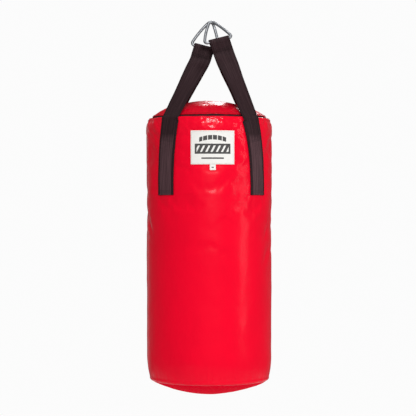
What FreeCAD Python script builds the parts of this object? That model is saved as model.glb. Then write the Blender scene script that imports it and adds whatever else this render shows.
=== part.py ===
import FreeCAD, Part
import math
import os
import Sketcher
from FreeCAD import Placement, Rotation, Vector

# A filled heavy punching bag that hangs by two webbing straps and two triangular rings.
# Millimetres. +Z is up and -Y is the front. The origin is the hook's bearing point, under the rings' apexes.
# Heights of the bag's own parts are counted from its rim, and their plan from its axis.

# name: (value, what it is)
SIZES = {
    "axis_x": (-5.0, "bag axis, sideways from the hook"),
    "rim_z": (-264.0, "rim of the bag, below the hook"),
    "bag_radius": (170.0, "outside of the side shell"),
    "shell_wall": (2.0, "coated cloth with its backing"),
    "rim_roll": (5.0, "radius that the side shell turns in with at the rim"),
    "taper_drop": (641.0, "rim to the start of the taper"),
    "seam_drop": (718.0, "rim to the bottom seam"),
    "seam_radius": (158.0, "outside of the side shell at the bottom seam"),
    "base_drop": (757.0, "rim to the lowest point"),
    "slip": (0.3, "gap between two parts that lie against each other"),
    "dome_rise": (50.0, "crown of the lid above the rim"),
    "crown_round": (383.0, "profile radius of the lid's crown"),
    "crown_angle": (17.0, "slope where the crown meets the shoulder, degrees"),
    "shoulder_round": (115.0, "profile radius of the lid's shoulder"),
    "lid_wall": (2.5, "lid with its folded edge"),
    "lid_edge_angle": (43.1, "slope at the lid's edge, degrees"),
    "liner_wall": (1.0, "canvas liner"),
    "foam_wall": (15.0, "foam wrap"),
    "foam_top_drop": (14.0, "rim to the foam's top edge"),
    "tape_wall": (1.0, "zip tape"),
    "tape_depth": (3.9, "underside of the zip tape below the lid's surface"),
    "tape_from": (40.0, "slope at the tape's upper edge, degrees"),
    "tape_to": (50.4, "slope at the tape's lower edge, degrees"),
    "chain_from": (44.4, "slope at the chain's upper edge, degrees"),
    "chain_to": (47.2, "slope at the chain's lower edge, degrees"),
    "chain_depth": (2.8, "underside of the chain below the lid's surface"),
    "chain_height": (2.0, "height of the closed chain"),
    "chain_turn": (58.0, "how far round the rim the chain runs, degrees"),
    "chain_middle": (178.0, "the chain's middle, round from the front, degrees"),
    "slider_turn": (155.0, "slider when closed, round from the front, degrees"),
    "slider_length": (14.0, "slider along the chain"),
    "slider_width": (9.2, "slider across the chain"),
    "crown_wall": (1.6, "slider plate"),
    "crown_lift": (0.4, "gap between the chain and the slider plate"),
    "flange_wall": (1.0, "slider flange"),
    "ear_length": (3.2, "slider ear along the chain"),
    "ear_wall": (1.0, "slider ear"),
    "ear_gap": (3.4, "gap between the slider's ears"),
    "pivot_radius": (0.9, "pull's pivot pin"),
    "pivot_lift": (2.2, "pivot above the slider plate"),
    "pivot_play": (0.1, "radial play of the pull on its pin"),
    "eye_radius": (1.9, "outside of the pull's eye"),
    "pull_length": (26.0, "pull, from its pivot to its end"),
    "pull_width": (7.0, "pull tab"),
    "pull_wall": (1.3, "pull tab"),
    "neck_width": (3.0, "pull's eye between the ears"),
    "strap_width": (57.0, "webbing"),
    "strap_wall": (3.0, "webbing"),
    "strap_end_drop": (210.0, "rim to a strap's sewn end"),
    "strap_top_drop": (58.0, "rim to the top row of strap stitching"),
    "strap_sweep": (2.5, "power that a strap's turn follows down the side"),
    "rod_radius": (4.0, "ring rod"),
    "ring_width": (74.0, "ring, between the rod centres"),
    "ring_height": (72.0, "ring, bar to apex, between the rod centres"),
    "foot_round": (7.0, "ring's lower bends, at the rod centre"),
    "apex_round": (9.0, "ring's apex bend, at the rod centre"),
    "limb_round": (260.0, "bow of the ring's limbs, at the rod centre"),
    "label_width": (118.0, "label, round the bag"),
    "label_top_drop": (39.0, "rim to the label's top edge"),
    "label_height": (90.0, "label"),
    "label_turn": (3.3, "label's middle, round from the front, degrees"),
    "label_wall": (1.0, "label"),
    "tab_width": (16.0, "size tab"),
    "tab_height": (15.0, "size tab"),
    "tab_wall": (0.6, "size tab"),
    "seam_strip_width": (34.0, "strip that covers the upright seam"),
    "seam_strip_wall": (1.2, "strip that covers the upright seam"),
    "thread": (0.9, "width and height of a row of stitches"),
    "hem_inset": (4.0, "row of stitches from the edge it holds"),
}

# Where each strap goes. Turns are degrees round from the front, and slide is the webbing's place along its bar.
# The two rings hang side by side on the hook, and the right one's bar leans to the front.
STRAPS = {
    "left": {
        "side": -1,
        "rim_turn": {"front": 37.5, "back": 40.5},
        "end_turn": {"front": 43.5, "back": 46.5},
        "bar": Vector(-17.0, 4.5, -65.97),
        "bar_line": Vector(0.9717, 0, -0.2361),
        "slide": -2.0,
        "loop_end": Vector(-28.0, 4.0, -95.0),
        "apex": Vector(0, 4.5, 4.0),
    },
    "right": {
        "side": 1,
        "rim_turn": {"front": 40.0, "back": 43.5},
        "end_turn": {"front": 50.0, "back": 53.0},
        "bar": Vector(20.5, -46.5, -50.5),
        "bar_line": Vector(0.958, 0.141, 0.252),
        "slide": 2.0,
        "loop_end": Vector(33.0, -38.0, -80.0),
        "apex": Vector(0, -4.5, 4.0),
    },
}


class Size:
    """A number together with the expression that gives it from the sheet."""

    def __init__(self, value, text):
        self.value = float(value)
        self.text = text

    def join(self, other, sign, value):
        return Size(value, f"({self.text} {sign} {other.text})")

    def __add__(self, other):
        other = as_size(other)
        return self.join(other, "+", self.value + other.value)

    def __sub__(self, other):
        other = as_size(other)
        return self.join(other, "-", self.value - other.value)

    def __mul__(self, other):
        other = as_size(other)
        return self.join(other, "*", self.value * other.value)

    def __truediv__(self, other):
        other = as_size(other)
        return self.join(other, "/", self.value / other.value)

    def __neg__(self):
        return Size(-self.value, f"(-{self.text})")


def as_size(number):
    return number if isinstance(number, Size) else Size(number, f"{float(number):.6f}")


def sine(angle):
    return Size(math.sin(math.radians(angle.value)), f"sin({angle.text})")


def cosine(angle):
    return Size(math.cos(math.radians(angle.value)), f"cos({angle.text})")


doc = FreeCAD.newDocument("punching_bag")
sheet = doc.addObject("Spreadsheet::Sheet", "dims")
for row, (alias, (value, note)) in enumerate(SIZES.items(), start=1):
    sheet.set(f"A{row}", note)
    sheet.set(f"B{row}", str(value))
    sheet.setAlias(f"B{row}", alias)
doc.recompute()
dim = {alias: Size(sheet.get(alias), f"dims.{alias}") for alias in SIZES}
nodes = []


def val(alias):
    return dim[alias].value


def keep(part, label):
    """Takes an object as a sub-part under its name."""
    part.Label = label
    nodes.append(part)
    return part


def on_axis(height=0.0, turn=0.0):
    """Frame on the bag's axis at a height from the rim, turned round from the front."""
    return Placement(Vector(val("axis_x"), 0, val("rim_z") + height), Rotation(Vector(0, 0, 1), turn))


# ---------------------------------------------------------------- sketches and bodies


def origin_plane(body, role):
    return next(item for item in body.Origin.OriginFeatures if item.Role == role)


def add_sketch(body, role):
    sketch = body.newObject("Sketcher::SketchObject", "sketch")
    sketch.AttachmentSupport = [(origin_plane(body, role), "")]
    sketch.MapMode = "FlatFace"
    return sketch


def bind(sketch, kind, parts, size):
    """Adds a constraint whose value is an expression of the sheet."""
    index = sketch.addConstraint(Sketcher.Constraint(kind, *parts, size.value))
    sketch.setExpression(f"Constraints[{index}]", size.text)


def arc_between(start, end, radius, side):
    """Minor arc from start to end whose centre lies on the given side, +1 for left of the chord."""
    chord = end - start
    half = chord.Length / 2
    left = Vector(-chord.y, chord.x, 0).normalize()
    centre = (start + end) / 2 + left * (side * math.sqrt(radius**2 - half**2))
    outward = ((start + end) / 2 - centre).normalize()
    return Part.Arc(start, centre + outward * radius, end)


def draw_outline(sketch, corners):
    """Closed outline. A corner is (x, y) or (x, y, radius, side) where the edge that leaves it is an arc."""
    spots = [Vector(as_size(c[0]).value, as_size(c[1]).value, 0) for c in corners]
    ends = []
    for i, corner in enumerate(corners):
        start, end = spots[i], spots[(i + 1) % len(spots)]
        if len(corner) == 2:
            ends.append((sketch.addGeometry(Part.LineSegment(start, end), False), 1, 2))
            continue
        arc = arc_between(start, end, as_size(corner[2]).value, corner[3])
        index = sketch.addGeometry(arc, False)
        first = 1 if sketch.getPoint(index, 1).distanceToPoint(start) < 1e-6 else 2
        ends.append((index, first, 3 - first))
        bind(sketch, "Radius", (index,), as_size(corner[2]))
    for i, (index, _, last) in enumerate(ends):
        following, first, _ = ends[(i + 1) % len(ends)]
        sketch.addConstraint(Sketcher.Constraint("Coincident", index, last, following, first))
    for (index, first, _), corner in zip(ends, corners):
        for kind, size, axis in (("DistanceX", corner[0], -2), ("DistanceY", corner[1], -1)):
            if as_size(size).value == 0:
                sketch.addConstraint(Sketcher.Constraint("PointOnObject", index, first, axis))
            else:
                bind(sketch, kind, (-1, 1, index, first), as_size(size))


def revolved(label, corners, turn=None, start_turn=0.0):
    """Body turned about the bag's axis from an outline of (radius, height from the rim)."""
    body = doc.addObject("PartDesign::Body", label)
    sketch = add_sketch(body, "XZ_Plane")
    draw_outline(sketch, corners)
    feature = body.newObject("PartDesign::Revolution", "turned")
    feature.Profile = sketch
    feature.ReferenceAxis = (sketch, ["V_Axis"])
    feature.Angle = 360.0
    if turn is not None:
        feature.setExpression("Angle", turn.text)
    sketch.Visibility = False
    body.Placement = on_axis(turn=start_turn)
    return keep(body, label)


def band(label, inner, wall, width, drop, height, middle_turn):
    """Body that lies round the bag: a curved plate of a width round its inner radius, below a drop from the rim."""
    body = doc.addObject("PartDesign::Body", label)
    sketch = add_sketch(body, "XY_Plane")
    half = width / inner * (90 / math.pi)
    outer = inner + wall
    across, along = sine(half), cosine(half)
    corners = [
        (-(inner * across), -(inner * along), inner, 1),
        (inner * across, -(inner * along)),
        (outer * across, -(outer * along), outer, -1),
        (-(outer * across), -(outer * along)),
    ]
    draw_outline(sketch, corners)
    pad = body.newObject("PartDesign::Pad", "plate")
    pad.Profile = sketch
    pad.setExpression("Length", height.text)
    pad.Reversed = True
    sketch.Visibility = False
    body.Placement = on_axis(-drop.value, middle_turn)
    return keep(body, label)


# ---------------------------------------------------------------- shell, lid and filling


def arc_round(along, across):
    """Radius of the arc that starts square to a side and reaches this far along it and this far across it."""
    return (along * along + across * across) / (across * 2)


def shoulder_point(slope, depth=0.0):
    """Point of the lid's shoulder at a slope, a depth below its surface: (radius, height from the rim)."""
    reach = dim["shoulder_round"] - depth
    core = dim["crown_round"] - dim["shoulder_round"]
    radius = core * sine(dim["crown_angle"]) + reach * sine(slope)
    drop = dim["crown_round"] - core * cosine(dim["crown_angle"]) - reach * cosine(slope)
    return radius, dim["dome_rise"] - drop


def shoulder_strip(slope_from, slope_to, depth, height):
    """Outline of a strip that follows the shoulder between two slopes, its underside at a depth."""
    top = depth - height
    low_round = dim["shoulder_round"] - depth
    top_round = dim["shoulder_round"] - top
    return [
        (*shoulder_point(slope_from, top), top_round, -1),
        shoulder_point(slope_to, top),
        (*shoulder_point(slope_to, depth), low_round, 1),
        shoulder_point(slope_from, depth),
    ]


def make_side_shell():
    wall, roll = dim["shell_wall"], dim["rim_roll"]
    outer, foot = dim["bag_radius"], dim["seam_radius"]
    taper = arc_round(dim["seam_drop"] - dim["taper_drop"], outer - foot)
    revolved(
        "side_shell",
        [
            (outer - roll, 0, roll, -1),
            (outer, -roll),
            (outer, -dim["taper_drop"], taper, -1),
            (foot, -dim["seam_drop"]),
            (foot - wall, -dim["seam_drop"], taper, 1),
            (outer - wall, -dim["taper_drop"]),
            (outer - wall, -roll, roll - wall, 1),
            (outer - roll, -wall),
        ],
    )


def make_bottom_panel():
    wall, foot = dim["shell_wall"], dim["seam_radius"] - dim["slip"]
    top = -dim["seam_drop"] - dim["slip"]
    depth = dim["base_drop"] + top
    revolved(
        "bottom_panel",
        [
            (foot, top, arc_round(foot, depth), -1),
            (0, -dim["base_drop"]),
            (0, wall - dim["base_drop"], arc_round(foot - wall, depth - wall), 1),
            (foot - wall, top),
        ],
    )


def make_top_lid():
    join = dim["crown_angle"]
    wall, edge = dim["lid_wall"], dim["lid_edge_angle"]
    revolved(
        "top_lid",
        [
            (0, dim["dome_rise"], dim["crown_round"], -1),
            (*shoulder_point(join), dim["shoulder_round"], -1),
            shoulder_point(edge),
            (*shoulder_point(edge, wall), dim["shoulder_round"] - wall, 1),
            (*shoulder_point(join, wall), dim["crown_round"] - wall, 1),
            (0, dim["dome_rise"] - wall),
        ],
    )


def cup_corners(depth, top_drop):
    """Outer line of a layer inside the shell at a depth from its outside, from the top edge to the axis."""
    radius, foot = dim["bag_radius"] - depth, dim["seam_radius"] - depth
    seam, base = dim["seam_drop"] - depth * 0.9, dim["base_drop"] - depth
    return [
        (radius, -top_drop),
        (radius, -dim["taper_drop"], arc_round(seam - dim["taper_drop"], radius - foot), -1),
        (foot, -seam, arc_round(foot, base - seam), -1),
        (0, -base),
    ]


def cup(label, depth, wall, top_drop):
    """Layer that lines the side and the bottom."""
    outer = cup_corners(depth, top_drop)
    inner = cup_corners(depth + wall, top_drop)
    inside = [
        inner[3] + (inner[2][2], 1),
        inner[2][:2] + (inner[1][2], 1),
        inner[1][:2],
        inner[0],
    ]
    revolved(label, outer + inside)


def make_filling():
    liner = dim["shell_wall"] + dim["slip"]
    foam = liner + dim["liner_wall"] + dim["slip"]
    core = foam + dim["foam_wall"] + dim["slip"]
    cup("canvas_liner", liner, dim["liner_wall"], dim["foam_top_drop"])
    cup("foam_wrap", foam, dim["foam_wall"], dim["foam_top_drop"])
    under_lid = dim["tape_depth"] + dim["slip"]
    join = dim["crown_angle"]
    brim = dim["lid_edge_angle"] - 7
    side = cup_corners(core, dim["foam_top_drop"])
    revolved(
        "fill_core",
        side
        + [
            (0, dim["dome_rise"] - under_lid, dim["crown_round"] - under_lid, -1),
            (*shoulder_point(join, under_lid), dim["shoulder_round"] - under_lid, -1),
            shoulder_point(brim, under_lid),
        ],
    )


# ---------------------------------------------------------------- zip round the rim


def make_zip():
    tape = shoulder_strip(dim["tape_from"], dim["tape_to"], dim["tape_depth"], dim["tape_wall"])
    revolved("zip_tape", tape)
    chain = shoulder_strip(dim["chain_from"], dim["chain_to"], dim["chain_depth"], dim["chain_height"])
    start = val("chain_middle") - val("chain_turn") / 2 - 90
    revolved("zip_chain", chain, turn=dim["chain_turn"], start_turn=start)


def zip_frame(turn):
    """Frame on the zip's middle: X along it, Y up the slope and Z out of the lid, at a turn from the front."""
    slope = (dim["chain_from"] + dim["chain_to"]) / 2
    radius, height = shoulder_point(slope)
    spot = Vector(0, -radius.value, height.value)
    return on_axis(turn=turn) * Placement(spot, Rotation(Vector(1, 0, 0), slope.value))


def add_box(name, length, width, height, corner):
    """Part::Box with its sizes from the sheet and its lowest corner at three sizes."""
    box = doc.addObject("Part::Box", name)
    for side, size in (("Length", length), ("Width", width), ("Height", height)):
        box.setExpression(side, as_size(size).text)
    for axis, size in zip("xyz", corner):
        box.setExpression(f"Placement.Base.{axis}", as_size(size).text)
    return box


def add_cylinder(name, radius, height, base, lean):
    """Part::Cylinder with its sizes from the sheet, its foot at three sizes and its axis leant by a rotation."""
    cylinder = doc.addObject("Part::Cylinder", name)
    cylinder.Placement = Placement(Vector(), lean)
    cylinder.setExpression("Radius", as_size(radius).text)
    cylinder.setExpression("Height", as_size(height).text)
    for axis, size in zip("xyz", base):
        cylinder.setExpression(f"Placement.Base.{axis}", as_size(size).text)
    return cylinder


def joined(label, parts, place):
    """Boolean union of primitives as one sub-part."""
    union = doc.addObject("Part::MultiFuse", label)
    union.Shapes = parts
    union.Placement = place
    return keep(union, label)


ALONG_Y = Rotation(Vector(1, 0, 0), -90)


def make_slider():
    length, width = dim["slider_length"], dim["slider_width"]
    chain_top = dim["chain_height"] - dim["chain_depth"]
    plate_low = chain_top + dim["crown_lift"]
    plate_top = plate_low + dim["crown_wall"]
    flange_low = dim["slip"] * 1.5 - dim["tape_depth"] + dim["tape_wall"]
    parts = [add_box("crown", length, width, dim["crown_wall"], (-length / 2, -width / 2, plate_low))]
    for name, edge in (("lower_flange", -width / 2), ("upper_flange", width / 2 - dim["flange_wall"])):
        corner = (-length / 2, edge, flange_low)
        parts.append(add_box(name, length, dim["flange_wall"], plate_top - flange_low, corner))
    ear_height = dim["pivot_lift"] + dim["pivot_radius"] * 2
    gap, ear = dim["ear_gap"], dim["ear_wall"]
    for name, edge in (("lower_ear", -gap / 2 - ear), ("upper_ear", gap / 2)):
        corner = (-dim["ear_length"] / 2, edge, plate_top - 0.1)
        parts.append(add_box(name, dim["ear_length"], ear, ear_height + 0.1, corner))
    span = gap + ear * 2
    base = (0, -span / 2, plate_top + dim["pivot_lift"])
    parts.append(add_cylinder("pivot", dim["pivot_radius"], span, base, ALONG_Y))
    joined("zip_slider", parts, zip_frame(val("slider_turn")))
    return plate_top + dim["pivot_lift"]


def make_pull(pivot_height):
    neck, wall = dim["neck_width"], dim["pull_wall"]
    eye = add_cylinder("eye", dim["eye_radius"], neck, (0, -neck / 2, pivot_height), ALONG_Y)
    low = pivot_height - wall / 2
    shank = add_box("shank", 6, neck, wall, (1, -neck / 2, low))
    tab_length = dim["pull_length"] - 6
    tab = add_box("tab", tab_length, dim["pull_width"], wall, (6, -dim["pull_width"] / 2, low))
    solid = doc.addObject("Part::MultiFuse", "pull_solid")
    solid.Shapes = [eye, shank, tab]
    bore_radius = dim["pivot_radius"] + dim["pivot_play"]
    bore = add_cylinder("eye_bore", bore_radius, neck + 2, (0, -neck / 2 - 1, pivot_height), ALONG_Y)
    pull = doc.addObject("Part::Cut", "zip_pull")
    pull.Base = solid
    pull.Tool = bore
    pull.Placement = zip_frame(val("slider_turn"))
    keep(pull, "zip_pull")


def make_stops():
    """Two metal blocks that close the chain's ends."""
    blocks = []
    for name, side in (("closed_stop", 1), ("open_stop", -1)):
        block = doc.addObject("Part::Box", name)
        block.setExpression("Length", "dims.chain_height")
        block.setExpression("Width", "dims.slider_width - 2")
        block.setExpression("Height", "dims.chain_height + 0.4")
        reach = val("chain_turn") / 2 + 0.75
        low = Vector(-val("chain_height") / 2, 1 - val("slider_width") / 2, -val("chain_depth"))
        block.Placement = zip_frame(val("chain_middle") + side * reach) * Placement(low, Rotation())
        blocks.append(block)
    pair = doc.addObject("Part::Compound", "zip_stops")
    pair.Links = blocks
    keep(pair, "zip_stops")


# ---------------------------------------------------------------- webbing, stitches and strips


def side_frame(turn, drop, lift, lean=0.0, roll=0.0):
    """Frame on the bag's side: (middle, across, outward), lifted off it, leant in its plane, rolled over the rim."""
    angle = math.radians(turn)
    level = Vector(math.sin(angle), -math.cos(angle), 0)
    upright = Vector(0, 0, 1)
    outward = level * math.cos(roll) + upright * math.sin(roll)
    along = upright * math.cos(roll) - level * math.sin(roll)
    across = Vector(math.cos(angle), math.sin(angle), 0) * math.cos(lean) + along * math.sin(lean)
    middle = Vector(val("axis_x"), 0, val("rim_z") - drop) + level * (val("bag_radius") + lift)
    if roll > 0:
        middle = middle + (outward - level) * (val("rim_roll") + lift)
    return middle, across, outward


def ribbon(frames, width, wall, offset=0.0):
    """Solid band through frames of (middle, across, outward, sag): its edges lie lower by the sag."""
    wires = []
    for middle, across, outward, sag in frames:
        spots = []
        for height in (-wall / 2, wall / 2):
            for reach in (-0.5, 0, 0.5):
                drop = sag * (2 * (offset + reach * width) / val("strap_width")) ** 2 + 1e-3 * abs(reach)
                spots.append(middle + across * (offset + reach * width) + outward * (height - drop))
        low, top = spots[:3], spots[3:]
        edges = [
            Part.Arc(*low).toShape(),
            Part.makeLine(low[2], top[2]),
            Part.Arc(top[2], top[1], top[0]).toShape(),
            Part.makeLine(top[0], low[0]),
        ]
        wires.append(Part.Wire(edges))
    solid = Part.makeLoft(wires, True, True)
    if solid.Volume < 0:
        solid.reverse()
    return solid


def add_shape(label, shape):
    """Sub-part for which no parametric feature fits; its Placement comes after its Shape."""
    part = doc.addObject("Part::Feature", label)
    part.Shape = shape
    part.Placement = Placement()
    return keep(part, label)


def blend_vectors(first, second, share):
    return (first * (1 - share) + second * share).normalize()


def loop_outward(strap):
    """The way that the front layer of a strap's loop faces."""
    outward = strap["bar_line"].cross(strap["loop_end"] - strap["bar"]).normalize()
    return outward * (-1 if outward.y > 0 else 1)


def leg_frames(strap, face, lift):
    """Frames of one leg, from its sewn end up to the loop's stitching."""
    flip = 1 if face == "front" else -1
    base_turn = 0 if face == "front" else 180
    end_turn = base_turn + flip * strap["side"] * strap["end_turn"][face]
    rim_turn = base_turn + flip * strap["side"] * strap["rim_turn"][face]
    loop_out = loop_outward(strap) * flip
    layer = loop_out * (val("strap_wall") / 2 + 0.1)
    end_drop, roll_drop = val("strap_end_drop"), val("rim_roll")
    full_sag = val("strap_width") ** 2 / 8 / val("bag_radius")
    sweep = val("strap_sweep")
    travel = math.radians(rim_turn - end_turn) * val("bag_radius")

    def on_side(drop, roll=0.0):
        share = (1 - drop / end_drop) ** sweep
        lean = -math.atan(sweep * travel / end_drop * (1 - drop / end_drop) ** (sweep - 1))
        middle, across, out = side_frame(end_turn + (rim_turn - end_turn) * share, drop, lift, lean, roll)
        return middle, across * flip, out, full_sag * math.cos(roll)

    frames = [on_side(drop) for drop in (end_drop, 150, 100, val("strap_top_drop"), 30, 15, roll_drop)]
    finish = strap["loop_end"] + layer
    roll = 0.7
    for _ in range(4):
        start, across, outward, sag = on_side(roll_drop, roll)
        line = (finish - start).normalize()
        level = Vector(outward.x, outward.y, 0).normalize()
        roll = math.atan2(-line.dot(level), line.z)
    frames += [on_side(roll_drop, roll * share) for share in (0.25, 0.5, 0.75, 1.0)]
    length = (finish - start).Length
    for reach in (10.0, 25.0, 50.0, length * 0.4, length * 0.6, length * 0.8, length):
        share = reach / length
        wide = blend_vectors(across, strap["bar_line"], share**2)
        wide = (wide - line * wide.dot(line) * (1 - share)).normalize()
        out = wide.cross(line).normalize() * flip
        frames.append((start + line * reach, wide, out, sag * max(0.0, 1 - reach / 70.0)))
    middle, wide, out, sag = frames.pop()
    frames.append((middle, wide, blend_vectors(out, loop_out, 0.5), sag))
    return frames


def loop_frames(strap):
    """Frames over the bar, from the front layer's stitching to the back layer's."""
    bar_line = strap["bar_line"]
    bar = strap["bar"] + bar_line * strap["slide"]
    outward = loop_outward(strap)
    hang = strap["loop_end"] - bar
    skew = hang.dot(bar_line)
    down = (hang - bar_line * skew).normalize()
    skew = skew / hang.dot(down)
    reach = val("rod_radius") + val("slip") + val("strap_wall") / 2
    layer = val("strap_wall") / 2 + 0.1
    length = hang.dot(down)
    frames = []

    def spot(drop, out):
        return bar + down * drop + bar_line * (skew * drop) + outward * out

    tangent = math.asin((reach - layer) / math.hypot(length, reach - layer))
    for share in (0.25, 0.5, 0.75):
        drop = length + (reach * math.sin(tangent) - length) * share
        out = layer + (reach * math.cos(tangent) - layer) * share
        frames.append((spot(drop, out), bar_line, outward, 0.0))
    steps = 14
    for i in range(steps + 1):
        angle = -tangent + (math.pi + 2 * tangent) * i / steps
        way = outward * math.cos(angle) - down * math.sin(angle)
        frames.append((spot(-reach * math.sin(angle), reach * math.cos(angle)), bar_line, way, 0.0))
    for share in (0.75, 0.5, 0.25):
        drop = length + (reach * math.sin(tangent) - length) * share
        out = layer + (reach * math.cos(tangent) - layer) * share
        frames.append((spot(drop, -out), bar_line, outward * -1, 0.0))
    return frames


def strap_frames(strap):
    """All frames of one strap: up the front leg, over the bar and down the back leg."""
    lift = val("slip") + val("strap_wall") / 2
    return leg_frames(strap, "front", lift) + loop_frames(strap) + leg_frames(strap, "back", lift)[::-1]


def make_strap(name, strap):
    shape = ribbon(strap_frames(strap), val("strap_width"), val("strap_wall"))
    add_shape(f"strap_{name}", shape)


def make_end_stitching(name, strap, face):
    """Box of four rows that sews a strap's end to the side."""
    outer = val("slip") + val("strap_wall") + val("thread") / 2 + 0.3
    frames = leg_frames(strap, face, outer)[:4]
    bottom, top = frames[0], frames[3]
    down = (bottom[0] - top[0]).normalize()
    edge = val("strap_width") / 2 - val("hem_inset")
    thread = val("thread")
    low = (bottom[0] - down * val("hem_inset") * 2,) + bottom[1:]
    rows = []
    for offset in (-edge, edge):
        rows.append(ribbon([low] + frames[1:], thread, thread, offset))
    for frame, step in ((low, -1), (top, 1)):
        pair = [(frame[0] + down * (step * (1.0 + k * thread)),) + frame[1:] for k in (0, 1)]
        rows.append(ribbon(pair, 2 * edge - 2 * thread, thread))
    add_shape(f"stitching_{name}_{face}", Part.makeCompound(rows))


def make_loop_stitching(name, strap):
    """Two rows across each face of a loop, just above where its layers part."""
    out = loop_outward(strap)
    hang = (strap["loop_end"] - strap["bar"]).normalize()
    half = val("strap_width") / 2 - val("hem_inset")
    face = val("strap_wall") + 0.1 + val("thread") / 2 + 0.6
    rows = []
    for side in (1, -1):
        for rise in (2.0, 8.0):
            middle = strap["loop_end"] - hang * rise + out * side * (face + rise * 0.16)
            pair = [(middle + hang * k * val("thread"), strap["bar_line"], out * side, 0.0) for k in (0, 1)]
            rows.append(ribbon(pair, 2 * half, val("thread")))
    add_shape(f"loop_stitching_{name}", Part.makeCompound(rows))


def back_profile(drop):
    """Radius of the side shell at a drop from the rim."""
    below = drop - val("taper_drop")
    if below <= 0:
        return val("bag_radius")
    taper = arc_round(dim["seam_drop"] - dim["taper_drop"], dim["bag_radius"] - dim["seam_radius"]).value
    return val("bag_radius") - taper + math.sqrt(taper**2 - below**2)


def upright_frames(drops, turn, lift):
    """Frames down the side at one turn, following its taper."""
    frames = []
    for drop in drops:
        middle, across, outward = side_frame(turn, drop, back_profile(drop) - val("bag_radius") + lift)
        frames.append((middle, across, outward, val("strap_width") ** 2 / 8 / val("bag_radius")))
    return frames


def make_back_seam():
    """Strip over the side panel's upright joint, and the two rows that hold it."""
    drops = [10, 300, 641, 655, 670, 685, 700, 716]
    wall = val("seam_strip_wall")
    strip = ribbon(upright_frames(drops, 180, val("slip") + wall / 2 + 0.2), val("seam_strip_width"), wall)
    add_shape("back_seam_strip", strip)
    thread = val("thread")
    lift = val("slip") + wall + thread / 2 + 0.25
    edge = val("seam_strip_width") / 2 - val("hem_inset")
    frames = upright_frames(drops, 180, lift)
    rows = [ribbon(frames, thread, thread, offset) for offset in (-edge, edge)]
    add_shape("back_seam_stitching", Part.makeCompound(rows))


# ---------------------------------------------------------------- labels and hems


def make_labels():
    inner = dim["bag_radius"] + dim["slip"]
    top, height = dim["label_top_drop"], dim["label_height"]
    turn = val("label_turn")
    band("label_patch", inner, dim["label_wall"], dim["label_width"], top, height, turn)
    tab_top = top + height + dim["slip"]
    band("size_tab", inner, dim["tab_wall"], dim["tab_width"], tab_top, dim["tab_height"], turn)
    make_label_stitching(turn)


def make_label_stitching(turn):
    """Four rows just inside the label's edges."""
    thread = val("thread")
    radius = val("bag_radius") + val("slip") + val("label_wall") + thread / 2 + 0.05
    half_turn = math.degrees((val("label_width") / 2 - val("hem_inset")) / val("bag_radius"))
    top = val("label_top_drop") + val("hem_inset")
    bottom = val("label_top_drop") + val("label_height") - val("hem_inset")
    rows = []
    for drop in (top, bottom):
        row = Part.makeTorus(radius, thread / 2, Vector(), Vector(0, 0, 1), -180, 180, 2 * half_turn - 1)
        row.Placement = on_axis(-drop, turn - half_turn + 0.5 - 90)
        rows.append(row)
    for side in (-1, 1):
        middle, _, _ = side_frame(turn + side * half_turn, bottom, radius - val("bag_radius"))
        rows.append(Part.makeCylinder(thread / 2, bottom - top, middle))
    add_shape("label_stitching", Part.makeCompound(rows))


def make_hem_rows():
    """Rows round the rim that hold the zip tape to the lid and to the side shell."""
    thread = dim["thread"] / 2
    inset = dim["hem_inset"] / dim["shoulder_round"] * (180 / math.pi)
    radius, height = shoulder_point(dim["lid_edge_angle"] - inset, -thread - 0.05)
    bend = Size(10, "10")
    out = dim["rim_roll"] + thread + 0.05
    side_radius = dim["bag_radius"] - dim["rim_roll"] + out * sine(bend)
    side_height = out * cosine(bend) - dim["rim_roll"]
    rows = {"lid_stitching": (radius, height), "rim_stitching": (side_radius, side_height)}
    for label, (row_radius, row_height) in rows.items():
        ring = doc.addObject("Part::Torus", label)
        ring.Placement = on_axis()
        ring.setExpression("Radius1", row_radius.text)
        ring.setExpression("Radius2", thread.text)
        ring.setExpression("Placement.Base.z", (dim["rim_z"] + row_height).text)
        keep(ring, label)


# ---------------------------------------------------------------- rings


def ring_outline():
    """The rod's centre line as tangent arcs, from the bar's middle: lines and arcs of one closed wire."""
    foot, apex, bow = val("foot_round"), val("apex_round"), val("limb_round")
    foot_centre = Vector(val("ring_width") / 2 - foot, foot, 0)
    apex_centre = Vector(0, val("ring_height") - apex, 0)
    # the limb's centre is bow - foot from one bend's centre and bow - apex from the other's
    first, second = bow - foot, bow - apex
    span = apex_centre - foot_centre
    along = (first**2 - second**2 + span.Length**2) / (2 * span.Length)
    away = math.sqrt(first**2 - along**2)
    unit = span / span.Length
    limb_centre = foot_centre + unit * along + Vector(-unit.y, unit.x, 0) * away
    foot_top = foot_centre + (foot_centre - limb_centre).normalize() * foot
    apex_side = apex_centre + (apex_centre - limb_centre).normalize() * apex
    limb_middle = limb_centre + ((foot_top + apex_side) / 2 - limb_centre).normalize() * bow
    foot_middle = foot_centre + ((foot_top + Vector(foot_centre.x, 0, 0)) / 2 - foot_centre).normalize() * foot
    return foot_centre, foot_middle, foot_top, limb_middle, apex_side


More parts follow.
